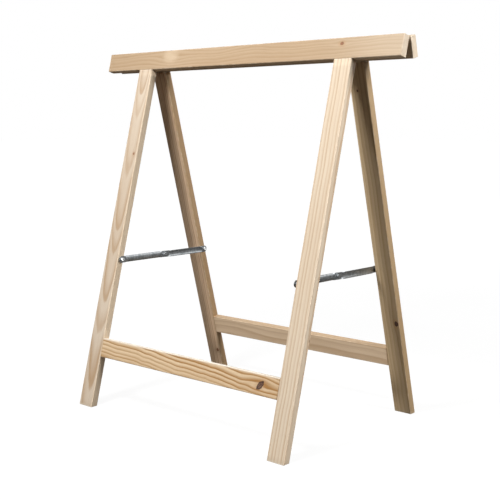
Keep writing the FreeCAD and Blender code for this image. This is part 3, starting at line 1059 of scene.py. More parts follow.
@dataclass
class Board:
    """A planed board, shaped about its own centre and then set in place."""

    centre: Vector
    basis: Matrix
    length: float
    width: float
    thickness: float
    eased_edge: float = 1.8 * MM
    eased_end: float = 0.6 * MM
    stands_on_floor: bool = False
    edge_steps: int = 5
    stations: int = 48
    planing: float = 0.10 * MM
    planing_waves: Vector = Vector((11.0, 40.0, 60.0))
    planing_drift: float = 7.0
    spare: float = 30 * MM

    def shape(self) -> bmesh.types.BMesh:
        """Return the board in place, with eased edges and the slight unevenness of planed wood."""
        bm = bmesh.new()
        bmesh.ops.create_cube(bm, size=1.0)
        reach = self.length + (self.spare if self.stands_on_floor else 0.0)
        bmesh.ops.scale(bm, vec=(reach, self.width, self.thickness), verts=bm.verts)
        bmesh.ops.translate(bm, vec=((reach - self.length) / 2, 0, 0), verts=bm.verts)
        round_off(bm, self._edges_along(bm), self.eased_edge, self.edge_steps)
        bmesh.ops.subdivide_edges(bm, edges=self._edges_along(bm), cuts=self.stations,
                                  use_grid_fill=True)
        self._plane_by_hand(bm)
        if not self.stands_on_floor:
            self._ease_ends(bm)
        place = Matrix.Translation(self.centre) @ self.basis.to_4x4()
        bmesh.ops.transform(bm, matrix=place, verts=bm.verts)
        if self.stands_on_floor:
            self._cut_foot(bm)
        return bm

    @staticmethod
    def _edges_along(bm: bmesh.types.BMesh) -> list:
        """Return the edges that run along the board, before it is set in place."""
        runs = [(edge, edge.verts[1].co - edge.verts[0].co) for edge in bm.edges]
        return [edge for edge, run in runs if abs(run.x) > 10 * max(abs(run.y), abs(run.z))]

    def _plane_by_hand(self, bm: bmesh.types.BMesh) -> None:
        """Move every vertex a little in or out, in long waves along the board."""
        seed = self.centre * self.planing_drift
        for vert in bm.verts:
            offset = noise.noise(vert.co * self.planing_waves + seed)
            inward = Vector((0, vert.co.y / self.width, vert.co.z / self.thickness))
            vert.co -= inward * self.planing * (1 + offset)

    def _ease_ends(self, bm: bmesh.types.BMesh) -> None:
        """Round the edges round both ends."""
        caps = [face for face in bm.faces if abs(face.normal.x) > SQUARE_ON]
        round_off(bm, list({edge for face in caps for edge in face.edges}), self.eased_end, 2)

    def _cut_foot(self, bm: bmesh.types.BMesh) -> None:
        """Cut the board off level with the floor and round the cut's edges."""
        geometry = list(bm.verts) + list(bm.edges) + list(bm.faces)
        cut = bmesh.ops.bisect_plane(bm, geom=geometry, dist=FLOOR_MARGIN, plane_co=(0, 0, 0),
                                     plane_no=-AXIS_Z, clear_outer=True)
        rim = of_kind(cut["geom_cut"], bmesh.types.BMEdge)
        bmesh.ops.contextual_create(bm, geom=rim)
        round_off(bm, rim, self.eased_end, 2)


@dataclass
class Dowel:
    """A fluted wooden dowel, drawn along +Z about its middle."""

    radius: float = 3.0 * MM
    length: float = 30.0 * MM
    chamfer: float = 0.7 * MM
    flutes: int = 16
    flute_depth: float = 0.28 * MM

    def shape_into(self, bm: bmesh.types.BMesh, place: Matrix) -> None:
        """Add the dowel to a mesh.

        Args:
            bm: The mesh that takes it.
            place: Where it goes.
        """
        outline = []
        for index, (x, y) in enumerate(circle_points(self.radius, 4 * self.flutes)):
            share = 1 - self.flute_depth / self.radius if index % 4 == 0 else 1.0
            outline.append((x * share, y * share))
        piece = bmesh.new()
        rim = cut_ring(piece, outline, -self.length / 2)
        face = bmesh.ops.contextual_create(piece, geom=rim)["faces"]
        raised = bmesh.ops.extrude_face_region(piece, geom=face)["geom"]
        bmesh.ops.translate(piece, vec=(0, 0, self.length), verts=of_kind(raised, bmesh.types.BMVert))
        ends = [edge for edge in piece.edges
                if abs(edge.verts[0].co.z - edge.verts[1].co.z) < SAME_PLACE]
        round_off(piece, ends, self.chamfer, 1)
        join_into(bm, piece, place)


def join_into(bm: bmesh.types.BMesh, part: bmesh.types.BMesh, place: Matrix) -> None:
    """Add one mesh to another and free it.

    Args:
        bm: The mesh that grows.
        part: The mesh that is added.
        place: Where it goes.
    """
    bmesh.ops.transform(part, matrix=place, verts=part.verts)
    bmesh.ops.recalc_face_normals(part, faces=part.faces)
    carrier = bpy.data.meshes.new("carrier")
    part.to_mesh(carrier)
    part.free()
    bm.from_mesh(carrier)
    bpy.data.meshes.remove(carrier)


@dataclass
class Screw:
    """A wood screw with a cross recess, its head's top at z = 0 and its point down -Z."""

    radius: float
    length: float
    tip: float
    head_radius: float
    head_height: float
    recess_reach: float
    is_domed: bool
    recess_half_width: float = 0.42 * MM
    recess_depth: float = 1.1 * MM
    recess_taper: float = 0.72
    recess_flat: float = 1.18
    dome_height: float = 0.75
    head_edge: float = 0.2 * MM
    countersink_edge: float = 0.18 * MM
    countersink_chamfer: float = 0.12 * MM
    core: float = 0.72
    smooth_shank: float = 2.0 * MM
    shank_taper: float = 0.5 * MM
    pitch: float = 1.25 * MM
    thread_root: float = 0.9
    thread_width: float = 0.28
    thread_end: float = 0.4
    thread_thinnest: float = 0.25
    steps: int = 36
    dome_steps: int = 6
    thread_steps: int = 18

    def shape_into(self, bm: bmesh.types.BMesh, place: Matrix) -> None:
        """Add the screw to a mesh.

        Args:
            bm: The mesh that takes it.
            place: Where it goes.
        """
        body = bmesh.new()
        turned(body, self._profile(), self.steps)
        self._sink_recess(body)
        join_into(bm, body, place)
        join_into(bm, self._thread(), place)

    def _profile(self) -> list[tuple[float, float]]:
        """Return the outline from the point up to the flat round the recess."""
        core = self.radius * self.core
        shank_end = -self.head_height - self.smooth_shank
        points = [(0.0, -self.length), (core, -self.length + self.tip),
                  (core, shank_end - self.shank_taper), (self.radius, shank_end)]
        flat = self.recess_reach * self.recess_flat
        if self.is_domed:
            rounding = min(self.head_height * self.dome_height, self.head_radius - flat)
            points += [(self.radius, -self.head_height),
                       (self.head_radius - self.head_edge, -self.head_height),
                       (self.head_radius, -self.head_height + self.head_edge)]
            points += arc((self.head_radius - rounding, -rounding), rounding, 0.0, QUARTER_TURN,
                          self.dome_steps)
        else:
            points += [(self.radius, -self.head_height), (self.head_radius, -self.countersink_edge),
                       (self.head_radius - self.countersink_chamfer, 0.0)]
        return points + [(flat, 0.0)]

    def _sink_recess(self, bm: bmesh.types.BMesh) -> None:
        """Close the head's top with a face that has a tapered cross sunk in it."""
        rim = [edge for edge in bm.edges if edge.is_boundary]
        reach, half = self.recess_reach, self.recess_half_width
        outline = []
        for quarter in range(4):
            turn = Matrix.Rotation(quarter * QUARTER_TURN, 2)
            outline += [tuple(turn @ Vector(corner)) for corner in ((reach, -half), (reach, half),
                                                                    (half, half))]
        cross = cut_ring(bm, outline, 0.0)
        bmesh.ops.triangle_fill(bm, use_beauty=True, edges=rim + cross, normal=AXIS_Z)
        sunk = bmesh.ops.extrude_edge_only(bm, edges=cross)["geom"]
        floor_verts = of_kind(sunk, bmesh.types.BMVert)
        bmesh.ops.translate(bm, vec=(0, 0, -self.recess_depth), verts=floor_verts)
        bmesh.ops.scale(bm, vec=(self.recess_taper, self.recess_taper, 1.0), verts=floor_verts)
        floor_edges = of_kind(sunk, bmesh.types.BMEdge)
        bmesh.ops.triangle_fill(bm, use_beauty=True, edges=floor_edges, normal=AXIS_Z)

    def _thread(self) -> bmesh.types.BMesh:
        """Return the thread: a ridge wound round the core from the shank to the point."""
        ridge = bmesh.new()
        start = -self.head_height - self.smooth_shank - self.pitch
        turns = (self.length - self.tip * self.thread_end + start) / self.pitch
        inner = self.radius * self.core * self.thread_root
        half = self.pitch * self.thread_width
        corners = [(inner, 0, start - half), (self.radius, 0, start), (inner, 0, start + half)]
        face = ridge.faces.new([ridge.verts.new(corner) for corner in corners])
        steps = int(turns * self.thread_steps)
        bmesh.ops.spin(ridge, geom=[face], cent=(0, 0, 0), axis=AXIS_Z, angle=FULL_TURN * turns,
                       steps=steps, dvec=(0, 0, -self.pitch / self.thread_steps), use_merge=False)
        point_top = -self.length + self.tip
        for vert in ridge.verts:
            if vert.co.z < point_top:
                share = max(self.thread_thinnest, 1 - (point_top - vert.co.z) / self.tip)
                vert.co.xy *= share
        return ridge


@dataclass(frozen=True)
class HingePlan:
    """Where the hinges' leaves and their screws are, in the closed pose about the hinge line."""

    centre: float = 265.0 * MM
    leaf_top: float = -0.9 * MM
    screw_spacing: float = 18.0 * MM
    screw_reach: float = 7.4 * MM

    def screw_spots(self, end: End, side: Side) -> list[tuple[int, Vector]]:
        """Return each screw's step from a leaf's middle, and the middle of its head's top.

        Args:
            end: The hinge's end of the sawhorse.
            side: The leaf's side.

        Returns:
            The steps and the places.
        """
        return [(step, Vector((end.value * self.centre + step * self.screw_spacing,
                               side.value * self.screw_reach, self.leaf_top))) for step in (-1, 0, 1)]


@dataclass
class LegFrame:
    """One leg frame: rail, two legs, stretcher, their dowels and the screws of its hinge leaves."""

    layout: Layout
    effects: Effects
    side: Side
    thickness: float = 16.0 * MM
    gap_to_middle: float = 1.5 * MM
    axis_above_rail: float = 1.9 * MM
    stretcher_top: float = 627.0 * MM
    dowel_spacing: float = 20.0 * MM
    stretcher_eased_end: float = 0.2 * MM
    hinge_plan: HingePlan = HingePlan()

    def build(self) -> None:
        """Build every piece of the frame."""
        width = self.layout.member_width
        self._add_board("rail", self._board(self.layout.rail_length, width / 2))
        stretcher = self._board(2 * self.layout.leg_inner_x, self.stretcher_top + width / 2)
        stretcher.eased_end = self.stretcher_eased_end
        self._add_board("stretcher", stretcher)
        for end in End:
            self._add_board(f"{end.word}_leg", self._leg(end))
        self._add_dowels()
        self._add_hinge_screws()

    @property
    def _down(self) -> Vector:
        """The way down along the frame, in the open sawhorse."""
        return self.layout.swing_out(self.side).to_3x3() @ Vector((0, 0, -1))

    @property
    def _out(self) -> Vector:
        """The way out of the sawhorse, square to the frame's face."""
        return self.layout.swing_out(self.side).to_3x3() @ Vector((0, self.side.value, 0))

    def _point(self, x: float, down: float) -> Vector:
        """Return a point in the middle of the boards' thickness.

        Args:
            x: Its place along the rail.
            down: Its distance below the rail's top, along the frame.

        Returns:
            The point in the open sawhorse.
        """
        y = self.side.value * (self.gap_to_middle + self.thickness / 2)
        return self.layout.swing_out(self.side) @ Vector((x, y, -self.axis_above_rail - down))

    def _board(self, length: float, down: float) -> Board:
        """Return a board that runs along the rail.

        Args:
            length: Its length.
            down: Its middle's distance below the rail's top.

        Returns:
            The board.
        """
        across = self.side.value * self._down
        basis = Matrix((AXIS_X, across, self._out)).transposed()
        return Board(self._point(0.0, down), basis, length, self.layout.member_width, self.thickness)

    def _leg(self, end: End) -> Board:
        """Return a leg, from the rail's underside to the floor.

        Args:
            end: The end of the sawhorse that it is at.

        Returns:
            The board.
        """
        top = self._point(end.value * self.layout.leg_middle_x, self.layout.member_width)
        length = top.z / -self._down.z
        centre = top + self._down * (length / 2)
        across = -self.side.value * AXIS_X
        basis = Matrix((self._down, across, self._out)).transposed()
        return Board(centre, basis, length, self.layout.member_width, self.thickness,
                     stands_on_floor=True)

    def _add_board(self, part: str, board: Board) -> None:
        """Shape, dress and place one board.

        Args:
            part: The board's name within its frame.
            board: Its sizes and place.
        """
        node = f"{self.side.word}_{part}"
        material = FINISHES[node].material(f"pine_{node}", board, self.effects)
        Piece(node, self.side.body, Slot.PINE, material).publish(board.shape())

    def _add_dowels(self) -> None:
        """Build the dowels of the rail's joints and of the stretcher's joints."""
        inner, middle = self.layout.leg_inner_x, self.layout.leg_middle_x
        width = self.layout.member_width
        dowel = Dowel()
        for part in ("rail", "stretcher"):
            bm = bmesh.new()
            for end in End:
                for step in (-0.5, 0.5):
                    offset = step * self.dowel_spacing
                    if part == "rail":
                        centre = self._point(end.value * middle + offset, width)
                        turn = AXIS_Z.rotation_difference(self._down)
                    else:
                        centre = self._point(end.value * inner, self.stretcher_top + width / 2 + offset)
                        turn = AXIS_Z.rotation_difference(AXIS_X)
                    dowel.shape_into(bm, Matrix.Translation(centre) @ turn.to_matrix().to_4x4())
            node = f"{self.side.word}_{part}_dowels"
            along_x = Board(Vector((0, 0, 0)), Matrix.Identity(3), dowel.length, 1.0, 1.0)
            material = BEECH.material(f"beech_{node}", along_x, self.effects)
            Piece(node, self.side.body, Slot.BEECH, material).publish(bm)

    def _add_hinge_screws(self) -> None:
        """Build the six countersunk screws that hold this frame's hinge leaves."""
        screw = Screw(radius=1.5 * MM, length=16.0 * MM, tip=4.0 * MM, head_radius=2.7 * MM,
                      head_height=1.2 * MM, recess_reach=1.6 * MM, is_domed=False,
                      recess_half_width=0.32 * MM, recess_depth=0.9 * MM)
        bm = bmesh.new()
        for end in End:
            for step, spot in self.hinge_plan.screw_spots(end, self.side):
                twist = Matrix.Rotation(SCREW_TWIST * step + end.value + self.side.value, 4, "Z")
                screw.shape_into(bm, self.layout.swing_out(self.side) @ Matrix.Translation(spot) @ twist)
        node = f"{self.side.word}_hinge_screws"
        material = SCREW_ZINC.material(self.effects)
        Piece(node, self.side.body, Slot.SCREW, material).publish(bm)


# ---------------------------------------------------------------------------------------------------
# Hinges


@dataclass
class Hinge:
    """A butt hinge: two leaves with rolled knuckles, and the pin."""

    layout: Layout
    effects: Effects
    end: End
    plan: HingePlan = HingePlan()
    length: float = 50.0 * MM
    leaf_thickness: float = 1.0 * MM
    leaf_reach: float = 12.0 * MM
    barrel_radius: float = 2.0 * MM
    bore_radius: float = 1.0 * MM
    notch: float = 2.35 * MM
    knuckles: int = 5
    knuckle_gap: float = 0.3 * MM
    rolled_from: float = 0.4 * MM
    rolled_angle: float = math.radians(292.0)
    rolled_steps: int = 26
    hole_radius: float = 1.75 * MM
    countersink_radius: float = 2.8 * MM
    hole_steps: int = 28
    corner_radius: float = 1.6 * MM
    corner_steps: int = 5
    pin_overhang: float = 0.6 * MM
    pin_dome: float = 0.55
    pin_steps: int = 24
    leaf_softness: float = 0.15 * MM
    knuckle_softness: float = 0.12 * MM

    def build(self) -> None:
        """Build the two leaves and the pin."""
        metal = HINGE_ZINC.material(self.effects)
        stem = f"hinge_{self.end.word}"
        for side in Side:
            bm = self._plate(side)
            for start, stop in self._knuckle_spans(side):
                join_into(bm, self._knuckle(side, start, stop), Matrix.Identity(4))
            piece = Piece(f"{stem}_{side.word}_leaf", side.body, Slot.HINGE, metal)
            piece.publish(bm, self.layout.swing_out(side))
        Piece(f"{stem}_pin", Side.FRONT.body, Slot.HINGE, metal).publish(self._pin())

    @property
    def _centre(self) -> float:
        """The hinge's middle along the rail."""
        return self.end.value * self.plan.centre

    def _knuckle_spans(self, side: Side) -> list[tuple[float, float]]:
        """Return where one leaf's knuckles start and stop along the rail."""
        pitch = self.length / self.knuckles
        first = 0 if side is Side.FRONT else 1
        low = self._centre - self.length / 2
        half_gap = self.knuckle_gap / 2
        return [(low + index * pitch + half_gap, low + (index + 1) * pitch - half_gap)
                for index in range(first, self.knuckles, 2)]

    def _plate(self, side: Side) -> bmesh.types.BMesh:
        """Return a leaf's flat plate with its countersunk holes, in the closed pose."""
        bm = bmesh.new()
        low, high = self._centre - self.length / 2, self._centre + self.length / 2
        near, far = side.value * self.notch, side.value * self.leaf_reach
        cut_ring(bm, [(low, near), (high, near), (high, far), (low, far)], self.plan.leaf_top)
        outer = [vert for vert in bm.verts if abs(vert.co.y - far) < SAME_PLACE]
        round_off(bm, outer, self.corner_radius, self.corner_steps, affect="VERTICES")
        edges = list(bm.edges)
        middles = [spot for _, spot in self.plan.screw_spots(self.end, side)]
        for middle in middles:
            points = circle_points(self.countersink_radius, self.hole_steps, middle.xy)
            edges += cut_ring(bm, points, self.plan.leaf_top)
        filled = bmesh.ops.triangle_fill(bm, use_beauty=True, edges=edges, normal=AXIS_Z)["geom"]
        faces = of_kind(filled, bmesh.types.BMFace)
        sunk = bmesh.ops.extrude_face_region(bm, geom=faces, use_keep_orig=True)["geom"]
        lower = of_kind(sunk, bmesh.types.BMVert)
        bmesh.ops.translate(bm, vec=(0, 0, -self.leaf_thickness), verts=lower)
        share = self.hole_radius / self.countersink_radius
        for middle in middles:
            ring = [vert for vert in lower
                    if (vert.co - middle).xy.length < self.countersink_radius + SAME_PLACE]
            bmesh.ops.scale(bm, vec=(share, share, 1.0), verts=ring, space=Matrix.Translation(-middle))
        bmesh.ops.recalc_face_normals(bm, faces=bm.faces)
        soften(bm, self.leaf_softness)
        return bm

    def _knuckle(self, side: Side, start: float, stop: float) -> bmesh.types.BMesh:
        """Return one knuckle: the leaf's strip rolled round the pin.

        Args:
            side: The leaf's side.
            start: Where it starts along the rail.
            stop: Where it stops.

        Returns:
            The closed mesh, in the closed pose.
        """
        bm = bmesh.new()
        root = side.value * (self.notch + self.rolled_from)
        plate = [(root, self.plan.leaf_top - self.leaf_thickness), (root, self.plan.leaf_top)]
        under = [(0.0, -self.barrel_radius), (0.0, -self.bore_radius)]
        verts = [bm.verts.new((start, y, z)) for y, z in plate + under]
        bm.faces.new((verts[0], verts[1], verts[3], verts[2]))
        bmesh.ops.spin(bm, geom=[verts[2], verts[3], bm.edges.get((verts[2], verts[3]))],
                       cent=(start, 0, 0), axis=AXIS_X, angle=-side.value * self.rolled_angle,
                       steps=self.rolled_steps, use_merge=False)
        deep = bmesh.ops.extrude_face_region(bm, geom=list(bm.faces), use_keep_orig=True)["geom"]
        bmesh.ops.translate(bm, vec=(stop - start, 0, 0), verts=of_kind(deep, bmesh.types.BMVert))
        bmesh.ops.recalc_face_normals(bm, faces=bm.faces)
        soften(bm, self.knuckle_softness)
        return bm

    def _pin(self) -> bmesh.types.BMesh:
        """Return the hinge pin in place, with domed ends."""
        bm = bmesh.new()
        half = self.length / 2 + self.pin_overhang
        dome = self.bore_radius * self.pin_dome
        radius = self.bore_radius
        low = arc((radius - dome, -half + dome), dome, -QUARTER_TURN, 0.0, 4)
        high = arc((radius - dome, half - dome), dome, 0.0, QUARTER_TURN, 4)
        turned(bm, [(0.0, -half)] + low + high + [(0.0, half)], self.pin_steps)
        turn = AXIS_Z.rotation_difference(AXIS_X).to_matrix().to_4x4()
        place = Matrix.Translation((self._centre, 0, self.layout.axis_height)) @ turn
        bmesh.ops.transform(bm, matrix=place, verts=bm.verts)
        return bm


# ---------------------------------------------------------------------------------------------------
# Stays


@dataclass
class Stay:
    """A folding stay: two pressed arms, the screws that they turn on, spacers and the middle rivet."""

    layout: Layout
    effects: Effects
    end: End
    width: float = 14.0 * MM
    depth: float = 4.0 * MM
    steel: float = 1.0 * MM
    corner_radius: float = 3.0 * MM
    crown: float = 1.1 * MM
    flat_end: float = 9.0 * MM
    runout: float = 7.0 * MM
    inner_web: float = 3.8 * MM
    outer_web: float = 5.1 * MM
    arm_gap: float = 0.3 * MM
    screw_radius: float = 2.2 * MM
    screw_fit: float = 0.08 * MM
    screw_bite: float = 24.0 * MM
    screw_tip: float = 5.0 * MM
    screw_head_radius: float = 4.2 * MM
    screw_head_height: float = 2.4 * MM
    screw_recess: float = 2.3 * MM
    screw_recess_depth: float = 1.4 * MM
    screw_pitch: float = 1.8 * MM
    screw_twist: float = 0.9
    spacer_radius: float = 4.0 * MM
    rivet_radius: float = 2.0 * MM
    rivet_head_radius: float = 3.8 * MM
    rivet_head_height: float = 1.2 * MM
    rivet_rounding: float = 0.8
    rivet_dimple: tuple[float, float] = (0.42, 0.3)
    rivet_dimple_depth: float = 0.12 * MM
    spacer_chamfer: float = 0.3 * MM
    softness: float = 0.14 * MM
    cells_along: int = 64
    cells_across: int = 24
    end_steps: int = 20
    hole_steps: int = 28
    turned_steps: int = 36

    def build(self) -> None:
        """Build both arms with their screws, spacers and rivet halves."""
        metal = STAY_ZINC.material(self.effects)
        bright = SCREW_ZINC.material(self.effects)
        for side in Side:
            is_inner = self.end.value * side.value == End.LEFT.value * Side.FRONT.value
            web = self.inner_web if is_inner else self.outer_web
            stem = f"stay_{self.end.word}_{side.word}"
            arm_body = f"{self.end.word}_{side.word}_arm"
            at_pivot = self._place(side.value * self.layout.pivot_y)
            Piece(f"{stem}_arm", arm_body, Slot.STAY, metal).publish(self._arm(side, web, is_inner))
            Piece(f"{stem}_rivet", arm_body, Slot.STAY, metal).publish(
                self._rivet(web, is_inner), self._place(0.0))
            Piece(f"{stem}_spacer", side.body, Slot.STAY, metal).publish(
                self._spacer(web - self.arm_gap), at_pivot)
            top = web + self.steel + self.arm_gap + self.screw_head_height
            screw = Screw(radius=self.screw_radius, length=top + self.screw_bite, tip=self.screw_tip,
                          head_radius=self.screw_head_radius, head_height=self.screw_head_height,
                          recess_reach=self.screw_recess, is_domed=True,
                          recess_depth=self.screw_recess_depth,
                          smooth_shank=top - self.screw_head_height, pitch=self.screw_pitch)
            bm = bmesh.new()
            twist = Matrix.Rotation(self.screw_twist * side.value + self.end.value, 4, "Z")
            screw.shape_into(bm, Matrix.Translation((0, 0, top)) @ twist)
            Piece(f"{stem}_screw", side.body, Slot.SCREW, bright).publish(bm, at_pivot)

    def _place(self, y: float) -> Matrix:
        """Return the matrix that puts a turned part on the leg's side face.

        Args:
            y: The part's place across the sawhorse.

        Returns:
            The matrix, whose Z axis points away from the leg.
        """
        sign = self.end.value
        basis = Matrix(((0, -sign, 0), (0, 0, 1), (-sign, 0, 0))).transposed()
        corner = Vector((sign * self.layout.leg_inner_x, y, self.layout.pivot_z))
        return Matrix.Translation(corner) @ basis.to_4x4()

    def _section(self, share: float, raised: float) -> tuple[float, float]:
        """Return a point of the pressed channel's outer surface.

        Args:
            share: Where it is across the strip, from -1 to 1.
            raised: How far the flanges have risen here, from 0 to 1.

        Returns:
            Its offset across the arm and its depth below the web.
        """
        half = self.width / 2
        flat = half - self.corner_radius
        bend = QUARTER_TURN * self.corner_radius
        unrolled = abs(share) * (flat + bend + self.depth - self.corner_radius)
        if unrolled <= flat:
            across, deep = unrolled, 0.0
        elif unrolled <= flat + bend:
            angle = (unrolled - flat) / self.corner_radius
            across = flat + self.corner_radius * math.sin(angle)
            deep = self.corner_radius * (1 - math.cos(angle))
        else:
            across, deep = half, self.corner_radius + unrolled - flat - bend
        across = (1 - raised) * abs(share) * half + raised * across
        crowned = self.crown * (across / half) ** 2 + deep * (1 - self.crown / self.depth)
        return math.copysign(across, share), raised * crowned

    def _arm(self, side: Side, web: float, is_inner: bool) -> bmesh.types.BMesh:
        """Return one arm in place.

        Args:
            side: The frame that it is screwed to.
            web: The distance from the leg's side face to its web.
            is_inner: Whether it is the arm next to the leg, whose flanges point to the leg.

        Returns:
            The closed mesh.
        """
        bm = bmesh.new()
        length = self.layout.pivot_y
        bmesh.ops.create_grid(bm, x_segments=self.cells_along, y_segments=self.cells_across, size=1.0)
        channel = length - 2 * self.flat_end
        for vert in bm.verts:
            along = self.flat_end + channel * (vert.co.x + 1) / 2
            to_flat = min(along, length - along) - self.flat_end
            rise = min(1.0, max(0.0, to_flat / self.runout))
            raised = rise * rise * (3 - 2 * rise)
            across, deep = self._section(vert.co.y, raised)
            vert.co = (along, across, -deep)
        for centre, hole in ((0.0, self.screw_radius + self.screw_fit), (length, self.rivet_radius)):
            self._round_end(bm, centre, hole, length)
        bmesh.ops.recalc_face_normals(bm, faces=bm.faces)
        if sum(face.normal.z for face in bm.faces) < 0:
            bmesh.ops.reverse_faces(bm, faces=bm.faces)
        bmesh.ops.solidify(bm, geom=list(bm.faces), thickness=self.steel)
        bmesh.ops.recalc_face_normals(bm, faces=bm.faces)
        soften(bm, self.softness)
        convex = web + self.steel if is_inner else web
        flip = 1.0 if is_inner else -1.0
        sign, towards_middle = self.end.value, -side.value
        place = Matrix((
            (0.0, 0.0, -sign * flip, sign * (self.layout.leg_inner_x - convex)),
            (towards_middle, 0.0, 0.0, side.value * length),
            (0.0, 1.0, 0.0, self.layout.pivot_z),
            (0.0, 0.0, 0.0, 1.0),
        ))
        bmesh.ops.transform(bm, matrix=place, verts=bm.verts)
        return bm

    def _round_end(self, bm: bmesh.types.BMesh, centre: float, hole: float, length: float) -> None:
        """Add a flat round end with its hole, joined to the channel's last row.

        Args:
            bm: The arm's mesh.
            centre: Where the hole's centre is along the arm.
            hole: The hole's radius.
            length: The arm's length between its holes.
        """
        is_far = centre > 0
        row_at = length - self.flat_end if is_far else self.flat_end
        row = [edge for edge in bm.edges
               if all(abs(vert.co.x - row_at) < SAME_PLACE for vert in edge.verts)]
        ends = sorted({vert for edge in row for vert in edge.verts}, key=lambda vert: vert.co.y)
        sweep = math.pi if is_far else -math.pi
        points = arc((centre, 0.0), self.width / 2, -QUARTER_TURN, sweep - QUARTER_TURN, self.end_steps)
        verts = [bm.verts.new((x, y, 0.0)) for x, y in points]
        chain = [ends[0]] + verts + [ends[-1]]
        outline = [bm.edges.new(pair) for pair in zip(chain, chain[1:])]
        rim = cut_ring(bm, circle_points(hole, self.hole_steps, (centre, 0.0)), 0.0)
        bmesh.ops.triangle_fill(bm, use_beauty=True, edges=row + outline + rim, normal=AXIS_Z)

    def _rivet(self, web: float, is_inner: bool) -> bmesh.types.BMesh:
        """Return the half of the middle rivet that is set in one arm, on its own axis."""
        bm = bmesh.new()
        far = web + self.steel
        head, height = self.rivet_head_radius, self.rivet_head_height
        rounding = height * self.rivet_rounding
        if is_inner:
            under, top, away = web, web - height, -1.0
            shank_end = far
        else:
            under, top, away = far, far + height, 1.0
            shank_end = web
        dome = arc((head - rounding, 0.0), rounding, 0.0, QUARTER_TURN, 6)
        dome = [(radius, top - away * rounding + away * rise) for radius, rise in dome]
        profile = [(0.0, shank_end), (self.rivet_radius, shank_end), (self.rivet_radius, under),
                   (head, under)] + dome
        rim, bottom = (share * head for share in self.rivet_dimple)
        sunk = top - away * self.rivet_dimple_depth
        turned(bm, profile + [(rim, top), (bottom, sunk), (0.0, sunk)], self.turned_steps)
        return bm

    def _spacer(self, height: float) -> bmesh.types.BMesh:
        """Return the tube that holds an arm clear of its leg."""
        bm = bmesh.new()
        chamfer = self.spacer_chamfer
        inner, outer = self.screw_radius, self.spacer_radius
        profile = [(inner, chamfer), (inner + chamfer, 0.0), (outer - chamfer, 0.0), (outer, chamfer),
                   (outer, height - chamfer), (outer - chamfer, height), (inner + chamfer, height),
                   (inner, height - chamfer), (inner, chamfer)]
        turned(bm, profile, self.turned_steps)
        return bm


# ---------------------------------------------------------------------------------------------------
# Studio


@dataclass(frozen=True)
class Lamp:
    """One soft square light: where it is, its width in metres and its power in watts."""

    name: str
    spot: Vector
    width: float
    power: float


LAMPS = (
    Lamp("key", Vector((-0.04, -1.15, 1.78)), 0.42, 22.0),
    Lamp("front", Vector((0.0, -6.0, 1.3)), 0.7, 125.0),
    Lamp("side", Vector((2.4, 0.05, 1.6)), 0.7, 50.0),
    Lamp("far_side", Vector((-2.6, 0.3, 1.2)), 0.8, 26.0),
    Lamp("behind", Vector((0.4, 6.0, 1.2)), 1.0, 110.0),
)


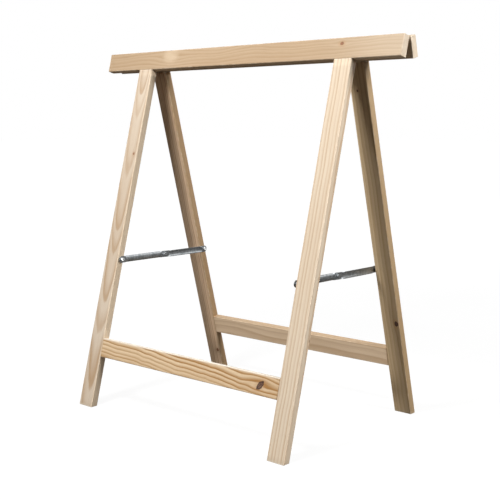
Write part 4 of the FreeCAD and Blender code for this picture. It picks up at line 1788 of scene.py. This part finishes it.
@dataclass
class Studio:
    """The pale floor, the soft lights and the camera."""

    eye: Vector = Vector((1.328, -1.464, 0.5915))
    aim: Vector = Vector((0.069, -0.060, 0.348))
    lens: float = 69.5
    sensor: float = 36.0
    floor_size: float = 60.0
    floor_glow: float = 0.88
    glow_reach: tuple[float, float] = (0.9, 3.5)
    floor_seen: Colour = rgb(0.16, 0.16, 0.16)
    floor_thrown: Colour = rgb(0.13, 0.12, 0.11)
    ambient: float = 0.06
    mirrored_low: float = 0.12
    mirrored_high: float = 1.4
    mirrored_rise: tuple[float, float] = (-0.05, 0.45)

    def build(self) -> None:
        """Set up everything round the sawhorse."""
        self._floor()
        self._world()
        self._camera()
        for lamp in LAMPS:
            self._light(lamp)
        bpy.context.scene.view_settings.view_transform = "Standard"

    def _light(self, lamp: Lamp) -> None:
        """Add a lamp that points at the sawhorse."""
        data = bpy.data.lights.new(lamp.name, "AREA")
        data.size = lamp.width
        data.energy = lamp.power
        self._aimed(data, lamp.spot).visible_camera = False

    def _aimed(self, data: bpy.types.ID, spot: Vector) -> bpy.types.Object:
        """Add a light or a camera that points at the sawhorse.

        Args:
            data: The light or the camera.
            spot: Where it is.

        Returns:
            The new object.
        """
        made = bpy.data.objects.new(data.name, data)
        bpy.context.scene.collection.objects.link(made)
        made.location = spot
        made.rotation_mode = "QUATERNION"
        made.rotation_quaternion = (self.aim - spot).to_track_quat("-Z", "Y")
        return made

    def _floor(self) -> None:
        """Lay a pale floor that looks white and throws little light back up."""
        bm = bmesh.new()
        bmesh.ops.create_grid(bm, x_segments=1, y_segments=1, size=self.floor_size / 2)
        mesh = bpy.data.meshes.new("studio_floor")
        bm.to_mesh(mesh)
        bm.free()
        material = bpy.data.materials.new("studio_floor")
        w = cleared(material)
        place = w.node("ShaderNodeTexCoord").outputs["Object"]
        x, y, _ = w.node("ShaderNodeSeparateXYZ", {0: place}).outputs
        glow = w.rise(w.length(x, y), *self.glow_reach, self.floor_glow, 1.0)
        glowing = w.node("ShaderNodeEmission", {"Color": WHITE, "Strength": glow})
        matt = w.node("ShaderNodeBsdfDiffuse", {"Color": self.floor_seen})
        seen = w.node("ShaderNodeAddShader", {0: glowing.outputs[0], 1: matt.outputs[0]})
        thrown = w.node("ShaderNodeBsdfDiffuse", {"Color": self.floor_thrown})
        is_seen = w.node("ShaderNodeLightPath").outputs["Is Camera Ray"]
        mixed = w.node("ShaderNodeMixShader", {0: is_seen, 1: thrown.outputs[0], 2: seen.outputs[0]})
        w.node("ShaderNodeOutputMaterial", {"Surface": mixed.outputs[0]})
        mesh.materials.append(material)
        floor = bpy.data.objects.new("studio_floor", mesh)
        bpy.context.scene.collection.objects.link(floor)

    def _world(self) -> None:
        """Make a white surrounding that lights the sawhorse more softly than it looks."""
        world = bpy.data.worlds.new("studio_world")
        bpy.context.scene.world = world
        w = cleared(world)
        seen = w.node("ShaderNodeBackground", {"Color": WHITE, "Strength": 1.0})
        lighting = w.node("ShaderNodeBackground", {"Color": WHITE, "Strength": self.ambient})
        direction = w.node("ShaderNodeTexCoord").outputs["Generated"]
        upward = w.node("ShaderNodeSeparateXYZ", {0: direction}).outputs[2]
        glint = w.rise(upward, *self.mirrored_rise, self.mirrored_low, self.mirrored_high)
        mirrored = w.node("ShaderNodeBackground", {"Color": WHITE, "Strength": glint})
        path = w.node("ShaderNodeLightPath").outputs
        unseen = w.node("ShaderNodeMixShader", {0: path["Is Glossy Ray"], 1: lighting.outputs[0],
                                                2: mirrored.outputs[0]})
        mixed = w.node("ShaderNodeMixShader", {0: path["Is Camera Ray"], 1: unseen.outputs[0],
                                               2: seen.outputs[0]})
        w.node("ShaderNodeOutputWorld", {"Surface": mixed.outputs[0]})

    def _camera(self) -> None:
        """Place the camera."""
        data = bpy.data.cameras.new("camera")
        data.lens = self.lens
        data.sensor_width = self.sensor
        bpy.context.scene.camera = self._aimed(data, self.eye)


def main() -> None:
    """Build the sawhorse, piece by piece, and the studio round it."""
    logging.basicConfig(level=logging.INFO, format="%(message)s")
    layout = Layout.from_frame()
    effects = Effects()
    for side in Side:
        LegFrame(layout, effects, side).build()
    for end in End:
        Hinge(layout, effects, end).build()
        Stay(layout, effects, end).build()
    Studio().build()


if __name__ == "__main__":
    main()
